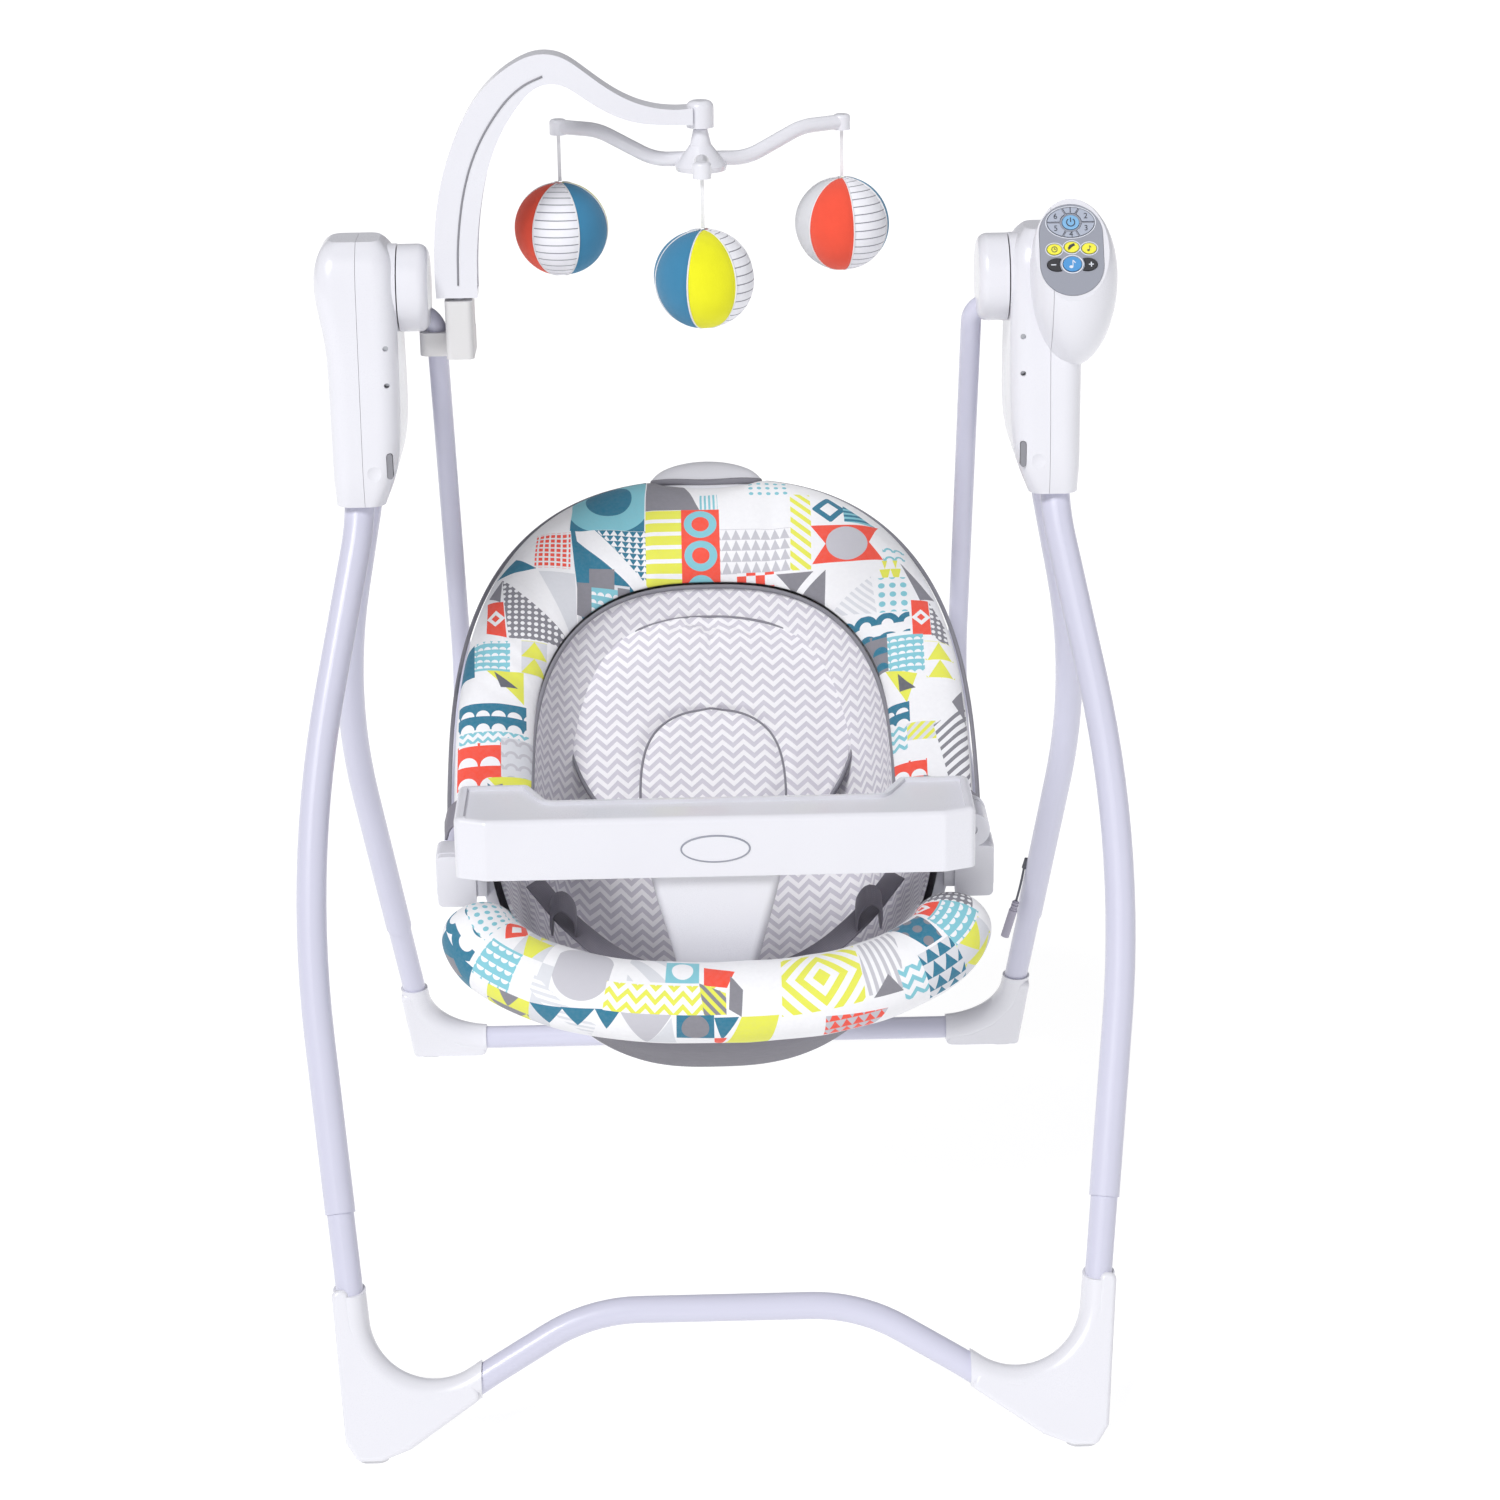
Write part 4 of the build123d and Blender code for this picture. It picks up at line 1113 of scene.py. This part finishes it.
def under_cloth():
    """The plain grey cloth that covers the shell's front below the roll, laid on the shell by ray casts."""
    shell = surface_of(NODES["seat_shell"])
    columns, rows = 49, 25
    points, uv = [], []
    for row in range(rows):
        for column in range(columns):
            x = UNDER_HALF * (2 * column / (columns - 1) - 1)
            drop = UNDER_DROP * (1 - 0.55 * (x / UNDER_HALF) ** 2)
            z = UNDER_TOP - drop * row / (rows - 1)
            hit = shell.ray_cast(Vector((x, -0.6, z)), Vector((0, 1, 0)))[0]
            place = hit if hit else points[-columns]
            points.append(Vector((x, place.y - (UNDER_CLEAR if hit else 0), z)))
            uv.append((x, z))
    faces = strip_faces(rows, columns, closed=False)
    piece = make_mesh("under_roll_cloth", points, faces, [GUSSET], "seat", "strap_webbing", uv)
    modify(piece, "SOLIDIFY", thickness=0.0015, offset=0.0)


under_cloth()

LIP_CENTRE = (0.0, 0.292, 0.004)
LIP_HALF = (0.052, 0.026, 0.013)


def shell_lip():
    """The white rounded grip at the top of the shell, which the cover's notch leaves bare."""
    spokes, rings = 48, 17
    points = []
    for ring in range(1, rings):
        polar = math.pi * ring / rings
        for spoke in range(spokes):
            angle = 2 * math.pi * spoke / spokes
            x = LIP_HALF[0] * math.sin(polar) * math.cos(angle)
            up = LIP_HALF[1] * math.sin(polar) * math.sin(angle)
            points.append(on_seat(x, LIP_CENTRE[1] + up, LIP_CENTRE[2] + LIP_HALF[2] * math.cos(polar)))
    faces = strip_faces(rings - 1, spokes)
    faces += [tuple(range(spokes))[::-1], tuple((rings - 2) * spokes + s for s in range(spokes))]
    outward(make_mesh("shell_lip", points, faces, [WHITE_PLASTIC], "seat", "white_plastic"))


shell_lip()


# ---------------------------------------------------------------- waist straps
STRAP = [(26, -150, 322), (80, -140, 334), (128, -118, 366), (158, -98, 398)]
STRAP_WIDE = Vector((0, 0.83, 0.56))
STRAP_W = 0.021
STRAP_DROP = Vector((0, 0, 0.006))


# The strap's section, as shares of its width and its thickness
WEBBING_SECTION = [
    (-0.5, 0.3), (-0.5, -0.3), (-0.47, -0.5), (0, -0.6), (0.47, -0.5), (0.5, -0.3), (0.5, 0.3), (0.47, 0.5),
    (0, 0.6), (-0.47, 0.5),
]


def webbing(name, line, wide, width, thickness=0.0018):
    """A flat woven strap along a line."""
    points, uv, run = [], [], 0.0
    for index, centre in enumerate(line):
        ahead = line[min(index + 1, len(line) - 1)]
        behind = line[max(index - 1, 0)]
        along = (ahead - behind).normalized()
        across = (wide - along * wide.dot(along)).normalized()
        normal = along.cross(across)
        run += (centre - behind).length if index else 0.0
        for side, rise in WEBBING_SECTION:
            points.append(centre + side * width * across + rise * thickness * normal)
            uv.append((run, side * width))
    count = len(WEBBING_SECTION)
    faces = strip_faces(len(line), count)
    faces += [tuple(range(count))[::-1], tuple((len(line) - 1) * count + s for s in range(count))]
    return make_mesh(name, points, faces, [WEBBING], "seat", "strap_webbing", uv)


def waist_straps():
    """A strap on each side of the crotch post, with a standing loop on each."""
    pieces = []
    for side, name in ((1, "right"), (-1, "left")):
        route = [Vector((side * x / 1000, y / 1000, z / 1000)) - STRAP_DROP for x, y, z in STRAP]
        line = resample(smooth_line(route), 40)
        strap = webbing(f"waist_strap_{name}", line, STRAP_WIDE, STRAP_W)
        top = line[26]
        loop = [top, top + Vector((0, -0.010, 0.020)), top + Vector((side * 0.012, -0.014, 0.034))]
        loop += [top + Vector((side * 0.022, -0.010, 0.022)), top + Vector((side * 0.020, -0.004, 0.002))]
        webbing(f"strap_loop_{name}", resample(smooth_line(loop), 24), STRAP_WIDE, STRAP_W)
        pieces.append(strap)
    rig.replaces(pieces[0], "waist_straps")


waist_straps()


# ---------------------------------------------------------------- stuffed balls and ribbons
STRIPED = "striped"
GORES = {
    "left": ["F2563F", STRIPED, "3E84AC", "E6E83A", "D9DADF", "F2563F"],
    "front": ["3E84AC", "EDEB1E", STRIPED, "F2563F", "D9DADF", "3E84AC"],
    "right": ["D9DADF", "F2563F", STRIPED, "3E84AC", "E6E83A", "D9DADF"],
}
GORE_START = {"left": -186, "front": -170, "right": -197}
TOY_R = 0.041
RIBBON_W = 0.003
GORE_COUNT = 6


def striped_cloth():
    """White cloth with thin grey lines across it."""
    material, tree, shader = new_material("toy_striped")
    u, v = print_coordinates(tree)
    line = v.frac(0.0072) < 0.13
    soft = noise(tree, coordinate(tree), 300.0, 4.0) * 0.2
    ground = mix(tree, soft, srgb("F4F4FA"), srgb("D9D9E4"))
    tree.links.new(mix(tree, line, ground, srgb("8B8C95")), shader.inputs["Base Color"])
    cloth_finish(shader)
    weave(tree, shader, u, v, 0.0007)
    return material


TOY_CLOTHS = {STRIPED: striped_cloth()}


def toy_cloth(code):
    if code not in TOY_CLOTHS:
        TOY_CLOTHS[code] = plain_cloth(f"toy_{code.lower()}", code, thread=0.0007, spread=0.10)
    return TOY_CLOTHS[code]


def on_ball(centre, angle, polar, radius):
    """A point at a turn round and an angle down from a ball's top."""
    flat = math.sin(polar) * radius
    return centre + Vector((flat * math.cos(angle), flat * math.sin(angle), radius * math.cos(polar)))


def stuffed_ball(side):
    """A ball sewn from six gores, each a little full between its seams."""
    low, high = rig.box(f"toy_{side}")
    centre = (low + high) / 2
    per_gore = 10
    around = GORE_COUNT * per_gore
    rows = 29
    points, uv = [], []
    for row in range(rows):
        polar = math.pi * (row + 0.25) / (rows - 0.5)
        for spoke in range(around):
            angle = math.radians(GORE_START[side]) + 2 * math.pi * spoke / around
            within = (spoke % per_gore) / per_gore
            seam = math.sin(math.pi * within) ** 0.5
            full = 0.963 + 0.037 * seam * math.sin(polar) + 0.010 * math.cos(polar * 3 + angle)
            radius = TOY_R * full
            points.append(on_ball(centre, angle, polar, radius))
            uv.append((within * 0.043 * math.sin(polar), -TOY_R * polar))
    faces = strip_faces(rows, around)
    faces += [tuple(range(around))[::-1], tuple((rows - 1) * around + s for s in range(around))]
    cloths = [toy_cloth(code) for code in GORES[side]]
    piece = make_mesh(f"ball_{side}", points, faces, cloths, f"toy_{side}", "toy_fabric", uv)
    for face in piece.data.polygons:
        if len(face.vertices) == 4:
            corner = face.vertices[0] % around
            face.material_index = corner // per_gore
    outward(piece)
    modify(piece, "SUBSURF", levels=2)
    puff(piece, 0.0008, frames=8)
    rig.replaces(piece, f"toy_{side}")
    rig.padded(piece, fill=0.9)
    for gore in range(GORE_COUNT):
        angle = math.radians(GORE_START[side]) + 2 * math.pi * gore / GORE_COUNT
        line = []
        for step in range(37):
            polar = math.pi * (0.03 + 0.94 * step / 36)
            line.append(on_ball(centre, angle, polar, TOY_R * 0.972))
        piping(f"ball_{side}_seam_{gore + 1}", line, 0.0007, RIBBON, f"toy_{side}", "toy_fabric", sides=6)
    ribbon(side)


def ribbon(side):
    """The flat ribbon that a ball hangs from."""
    body = f"toy_{side}"
    low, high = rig.box(f"ribbon_{side}")
    middle = (low + high) / 2
    line = [Vector((middle.x, middle.y, high.z + (low.z - high.z) * step / 16)) for step in range(17)]
    points, uv = [], []
    for centre in line:
        for x, y in ((-0.5, -0.1), (0.5, -0.1), (0.5, 0.1), (-0.5, 0.1)):
            points.append(centre + RIBBON_W * Vector((x, y, 0)))
            uv.append((x * RIBBON_W, centre.z))
    faces = strip_faces(len(line), 4)
    last = 4 * (len(line) - 1)
    faces += [(3, 2, 1, 0), tuple(last + s for s in range(4))]
    name = f"hanging_ribbon_{side}"
    piece = make_mesh(name, points, faces, [RIBBON], body, "ribbon_white", uv, smooth=False)
    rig.replaces(piece, f"ribbon_{side}")
    length = high.z - low.z
    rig.cord(
        piece, exit=tuple(line[0]), length=length, diameter=RIBBON_W, far_end="object", stiffness="limp",
        lay="hanging", path=[tuple(p) for p in line],
    )


for toy_side in GORES:
    stuffed_ball(toy_side)


# ---------------------------------------------------------------- power lead
LEAD_ROUTE = [(0.3072, 0.2810, 0.2410), (0.3046, 0.2825, 0.2228), (0.3002, 0.2840, 0.2050)]
LEAD_R = 0.0012


def power_lead():
    """The cable from the right rear leg down to its inline socket."""
    curve = bpy.data.curves.new("power_lead_cable", "CURVE")
    curve.dimensions = "3D"
    curve.bevel_depth = LEAD_R
    curve.bevel_resolution = 4
    curve.use_fill_caps = True
    spline = curve.splines.new("NURBS")
    spline.points.add(len(LEAD_ROUTE) - 1)
    for point, place in zip(spline.points, LEAD_ROUTE):
        point.co = (*place, 1.0)
    spline.order_u = 3
    spline.use_endpoint_u = True
    spline.resolution_u = 12
    curve.materials.append(LEAD)
    piece = bpy.data.objects.new("power_lead_cable", curve)
    bpy.context.scene.collection.objects.link(piece)
    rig.ride(piece, "rear_frame")
    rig.slot(piece, "lead_grey")
    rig.replaces(piece, "power_lead")
    length = sum((Vector(b) - Vector(a)).length for a, b in zip(LEAD_ROUTE, LEAD_ROUTE[1:]))
    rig.cord(
        piece, exit=LEAD_ROUTE[0], length=length, diameter=2 * LEAD_R, far_end="connector",
        stiffness="medium", lay="hanging", with_pieces=[NODES["lead_socket"]],
    )


power_lead()


# ---------------------------------------------------------------- marks on the keys
RING = (0.0, 0.0238)
KEY_TOP = 0.0012
MARK_LIFT = 0.00015
MARK_SINK = 0.0001


def flat_shape(name, outline, hole, out, thickness, material, body, slot):
    """A thin plate on the panel between two outlines of equal length, or inside one."""
    count = len(outline)
    points = [on_panel(x, y, out) for x, y in outline] + [on_panel(x, y, out + thickness) for x, y in outline]
    faces = [(i, (i + 1) % count, count + (i + 1) % count, count + i) for i in range(count)]
    if hole:
        points += [on_panel(x, y, out) for x, y in hole] + [on_panel(x, y, out + thickness) for x, y in hole]
        for i in range(count):
            j = (i + 1) % count
            faces.append((count + i, count + j, 3 * count + j, 3 * count + i))
            faces.append((2 * count + j, 2 * count + i, 3 * count + i, 3 * count + j))
            faces.append((j, i, 2 * count + i, 2 * count + j))
    else:
        faces += [tuple(range(count))[::-1], tuple(range(count, 2 * count))]
    piece = make_mesh(name, points, faces, [material], body, slot, smooth=False)
    return outward(piece)


def ellipse(x, y, half_x, half_y, count=48):
    turns = [2 * math.pi * i / count for i in range(count)]
    return [(x + half_x * math.cos(a), y + half_y * math.sin(a)) for a in turns]


def ring_mark(name, x, y, half_x, half_y, width, out, material, body, slot):
    outer = ellipse(x, y, half_x + width, half_y + width)
    flat_shape(name, outer, ellipse(x, y, half_x, half_y), out, 0.0005, material, body, slot)


def printed_mark(name, outline, material, body, slot="key_black"):
    """A thin shape that lies on a key's top."""
    flat_shape(name, outline, None, KEY_TOP - MARK_SINK, MARK_LIFT + MARK_SINK, material, body, slot)


def stroke(name, line, width, body, material=INK, slot="key_black"):
    """A drawn line on a key's top."""
    left, right = [], []
    for index, (x, y) in enumerate(line):
        ahead = line[min(index + 1, len(line) - 1)]
        behind = line[max(index - 1, 0)]
        dx, dy = ahead[0] - behind[0], ahead[1] - behind[1]
        size = math.hypot(dx, dy)
        left.append((x - dy / size * width / 2, y + dx / size * width / 2))
        right.append((x + dy / size * width / 2, y - dx / size * width / 2))
    printed_mark(name, left + right[::-1], material, body, slot)


def digit(number, x, y):
    """A plain numeral on a speed key."""
    curve = bpy.data.curves.new(f"digit_{number}", "FONT")
    curve.body = str(number)
    curve.size = 0.0068
    curve.align_x = "CENTER"
    curve.align_y = "CENTER"
    curve.extrude = 0.00012
    curve.materials.append(INK)
    piece = bpy.data.objects.new(f"digit_{number}", curve)
    bpy.context.scene.collection.objects.link(piece)
    turn = Matrix((Vector((1, 0, 0)), PANEL_UP, PANEL_OUT)).transposed().to_4x4()
    piece.matrix_world = Matrix.Translation(on_panel(x, y, KEY_TOP + 0.0001)) @ turn
    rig.ride(piece, f"speed_key_{number}")
    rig.slot(piece, "key_black")


def note(name, x, y, body, material=INK, scale=1.0):
    """A quaver: a head, a stem and a flag."""
    size = 0.001 * scale
    foot = y - 1.9 * size
    stem_x = x + 0.3 * size
    flag = [(stem_x, y + 2.5 * size), (x + 2.0 * size, y + 0.8 * size)]
    head = ellipse(x - 0.8 * size, foot, 1.25 * size, 0.95 * size, 20)
    printed_mark(f"{name}_head", head, material, body)
    stroke(f"{name}_stem", [(stem_x, foot), (stem_x, y + 2.6 * size)], 0.5 * size, body, material)
    stroke(f"{name}_flag", flag, 0.7 * size, body, material)


def arc_line(x, y, radius, start, end, count):
    """Points round a circle, from one turn to another, measured from its right."""
    turns = np.linspace(start, end, count)
    return [(x + radius * math.cos(a), y + radius * math.sin(a)) for a in turns]


def panel_marks():
    """The digits, rims and plain symbols on the control panel."""
    for number in range(1, 7):
        angle = math.radians(90 - 60 * (number - 1))
        digit(number, 0.0146 * math.cos(angle), RING[1] + 0.0106 * math.sin(angle))
    ring_mark("speed_ring", *RING, 0.0205, 0.0137, 0.0006, 0.0003, PALE_INK, "frame", "key_grey")
    arc = arc_line(*RING, 0.0034, math.pi / 2 - 0.6, 0.6 - 1.5 * math.pi, 22)
    stroke("power_arc", arc, 0.0009, "power_key")
    stroke("power_bar", [(0, RING[1] + 0.0002), (0, RING[1] + 0.0042)], 0.0009, "power_key")
    for name, x, y in (("timer", -0.0145, 0.0002), ("nature", 0.0, 0.0020), ("melody", 0.0145, 0.0007)):
        ring_mark(f"{name}_rim", x, y, 0.0069, 0.0054, 0.0007, 0.0003, PALE_INK, "frame", "key_yellow")
    clock = arc_line(-0.0145, 0.0002, 0.0023, 0, 2 * math.pi * 0.98, 24)
    stroke("timer_face", clock, 0.0006, "timer_key")
    stroke("timer_hand", [(-0.0131, 0.0002), (-0.0145, 0.0002), (-0.0145, 0.0016)], 0.0006, "timer_key")
    stroke("nature_leaf", [(-0.0026, 0.0004), (-0.001, 0.0031), (0.0024, 0.0044)], 0.0022, "nature_key")
    stroke("nature_stalk", [(-0.0030, -0.0006), (0.0016, 0.0036)], 0.0005, "nature_key")
    note("melody_note", 0.0145, 0.0007, "melody_key", scale=0.87)
    note("music_note", 0.0, -0.0128, "music_key", PALE_INK, 1.3)
    ring_mark("music_rim", 0.0, -0.0128, 0.0085, 0.0073, 0.0008, 0.0003, PALE_INK, "frame", "key_grey")
    for name, side in (("volume_down", -1), ("volume_up", 1)):
        x = side * 0.0157
        stroke(f"{name}_bar", [(x - 0.0021, -0.0133), (x + 0.0021, -0.0133)], 0.0009, f"{name}_key", PALE_INK)
        if side > 0:
            stroke("volume_up_upright", [(x, -0.0154), (x, -0.0112)], 0.0009, "volume_up_key", PALE_INK)


panel_marks()


# ---------------------------------------------------------------- tray emblem and cover tabs
EMBLEM = (0.0, -0.215, 0.466)
EMBLEM_HALF = (0.0285, 0.0115)


def tray_emblem():
    """A blank raised oval on the front of the tray."""
    rim = [Vector((x, EMBLEM[1], z)) for x, z in ellipse(EMBLEM[0], EMBLEM[2], *EMBLEM_HALF, 64)]
    points = [p + Vector((0, 0.0002, 0)) for p in rim] + [p - Vector((0, 0.0006, 0)) for p in rim]
    count = len(rim)
    faces = [(i, (i + 1) % count, count + (i + 1) % count, count + i) for i in range(count)]
    faces += [tuple(range(count))[::-1], tuple(range(count, 2 * count))]
    plate = make_mesh(
        "tray_emblem_plate", points, faces, [WHITE_PLASTIC], "tray", "white_plastic", smooth=False
    )
    outward(plate)
    piping("tray_emblem_rim", rim, 0.0009, PANEL_GREY, "tray", "panel_grey", closed=True)


tray_emblem()


def cover_tabs():
    """The grey bound tabs that hold the cover's lower corners to the shell."""
    for side, name in ((1, "right"), (-1, "left")):
        route = [
            on_seat(side * 0.180, -0.070, 0.0215), on_seat(side * 0.206, -0.078, 0.0225),
            on_seat(side * 0.229, -0.084, 0.0120), on_seat(side * 0.2335, -0.088, -0.0050),
        ]
        line = resample(smooth_line(route, 3), 24)
        webbing(f"cover_tab_{name}", line, SEAT_UP, 0.024, thickness=0.0024)


cover_tabs()


# ---------------------------------------------------------------- painted shade line along the front of the mobile's arm
# Points in millimetres, as X and Z, of a grey line that paints the shade at the edge of the arm's inner strip
ARM_GROOVE = [(-207, 902), (-206, 940), (-199, 985), (-186, 1021), (-165, 1053), (-147, 1069), (-130, 1076)]


def arm_groove():
    """A grey line along the front of the mobile's arm: painted shade at the edge of its inner strip."""
    line = resample(smooth_line([(x / 1000, -0.0131, z / 1000) for x, z in ARM_GROOVE]), 60)
    # Grey piping that stands in for shade, not for a groove in the arm
    piping("mobile_arm_painted_shade", line, 0.0009, BUTTON_GREY, "mobile", "button_grey", sides=6)


arm_groove()


# ---------------------------------------------------------------- stage, light and camera
CAMERA_PLACE = Vector((-0.0127, -2.9269, 1.5446))
CAMERA_YAW = math.radians(0.903)
CAMERA_PITCH = math.radians(20.084)
CAMERA_ROLL = math.radians(0.897)
LENS = 84.0


def floor():
    """A wide white floor that glows, so that the background is plain white."""
    mesh = bpy.data.meshes.new("floor")
    mesh.from_pydata([(-40, -40, 0), (40, -40, 0), (40, 60, 0), (-40, 60, 0)], [], [(0, 1, 2, 3)])
    piece = bpy.data.objects.new("floor", mesh)
    bpy.context.scene.collection.objects.link(piece)
    material, tree, shader = new_material("floor_white")
    shader.inputs["Base Color"].default_value = (0.28, 0.28, 0.28, 1)
    shader.inputs["Roughness"].default_value = 0.95
    shader.inputs["Emission Color"].default_value = (1, 1, 1, 1)
    shader.inputs["Emission Strength"].default_value = 0.86
    mesh.materials.append(material)
    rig.stage(piece)


def sun(name, toward, strength, spread):
    """A soft far light shining from a direction."""
    light = bpy.data.lights.new(name, "SUN")
    light.energy = strength
    light.angle = math.radians(spread)
    piece = bpy.data.objects.new(name, light)
    bpy.context.scene.collection.objects.link(piece)
    piece.rotation_euler = Vector(toward).to_track_quat("Z", "Y").to_euler()


def lights():
    """Soft studio light, mostly from the upper left front, shown without a film curve."""
    world = bpy.data.worlds.new("studio")
    world.use_nodes = True
    backdrop = world.node_tree.nodes["Background"]
    backdrop.inputs["Color"].default_value = (0.97, 0.97, 1.0, 1)
    backdrop.inputs["Strength"].default_value = 0.25
    bpy.context.scene.world = world
    sun("key_light", (-0.7, -1.0, 1.2), 2.1, 20)
    sun("fill_light", (1.0, -0.7, 0.5), 0.3, 50)
    sun("front_light", (0.1, -1.0, 0.15), 0.4, 60)
    sun("top_light", (0.1, 0.3, 1.0), 0.35, 50)
    bpy.context.scene.view_settings.view_transform = "Standard"


def camera():
    """The view of the whole swing from the front, a little above the seat."""
    data = bpy.data.cameras.new("camera")
    data.lens = LENS
    data.sensor_width = 36.0
    data.clip_end = 60.0
    piece = bpy.data.objects.new("camera", data)
    bpy.context.scene.collection.objects.link(piece)
    turn = Matrix.Rotation(-CAMERA_YAW, 4, "Z") @ Matrix.Rotation(math.pi / 2 - CAMERA_PITCH, 4, "X")
    turn = turn @ Matrix.Rotation(-CAMERA_ROLL, 4, "Z")
    piece.matrix_world = Matrix.Translation(CAMERA_PLACE) @ turn
    bpy.context.scene.camera = piece


floor()
lights()
camera()

with open("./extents.json", "w") as out:
    json.dump({"cad": [list(c) for c in cad_box], "visual": [list(c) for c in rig.bounds()]}, out)
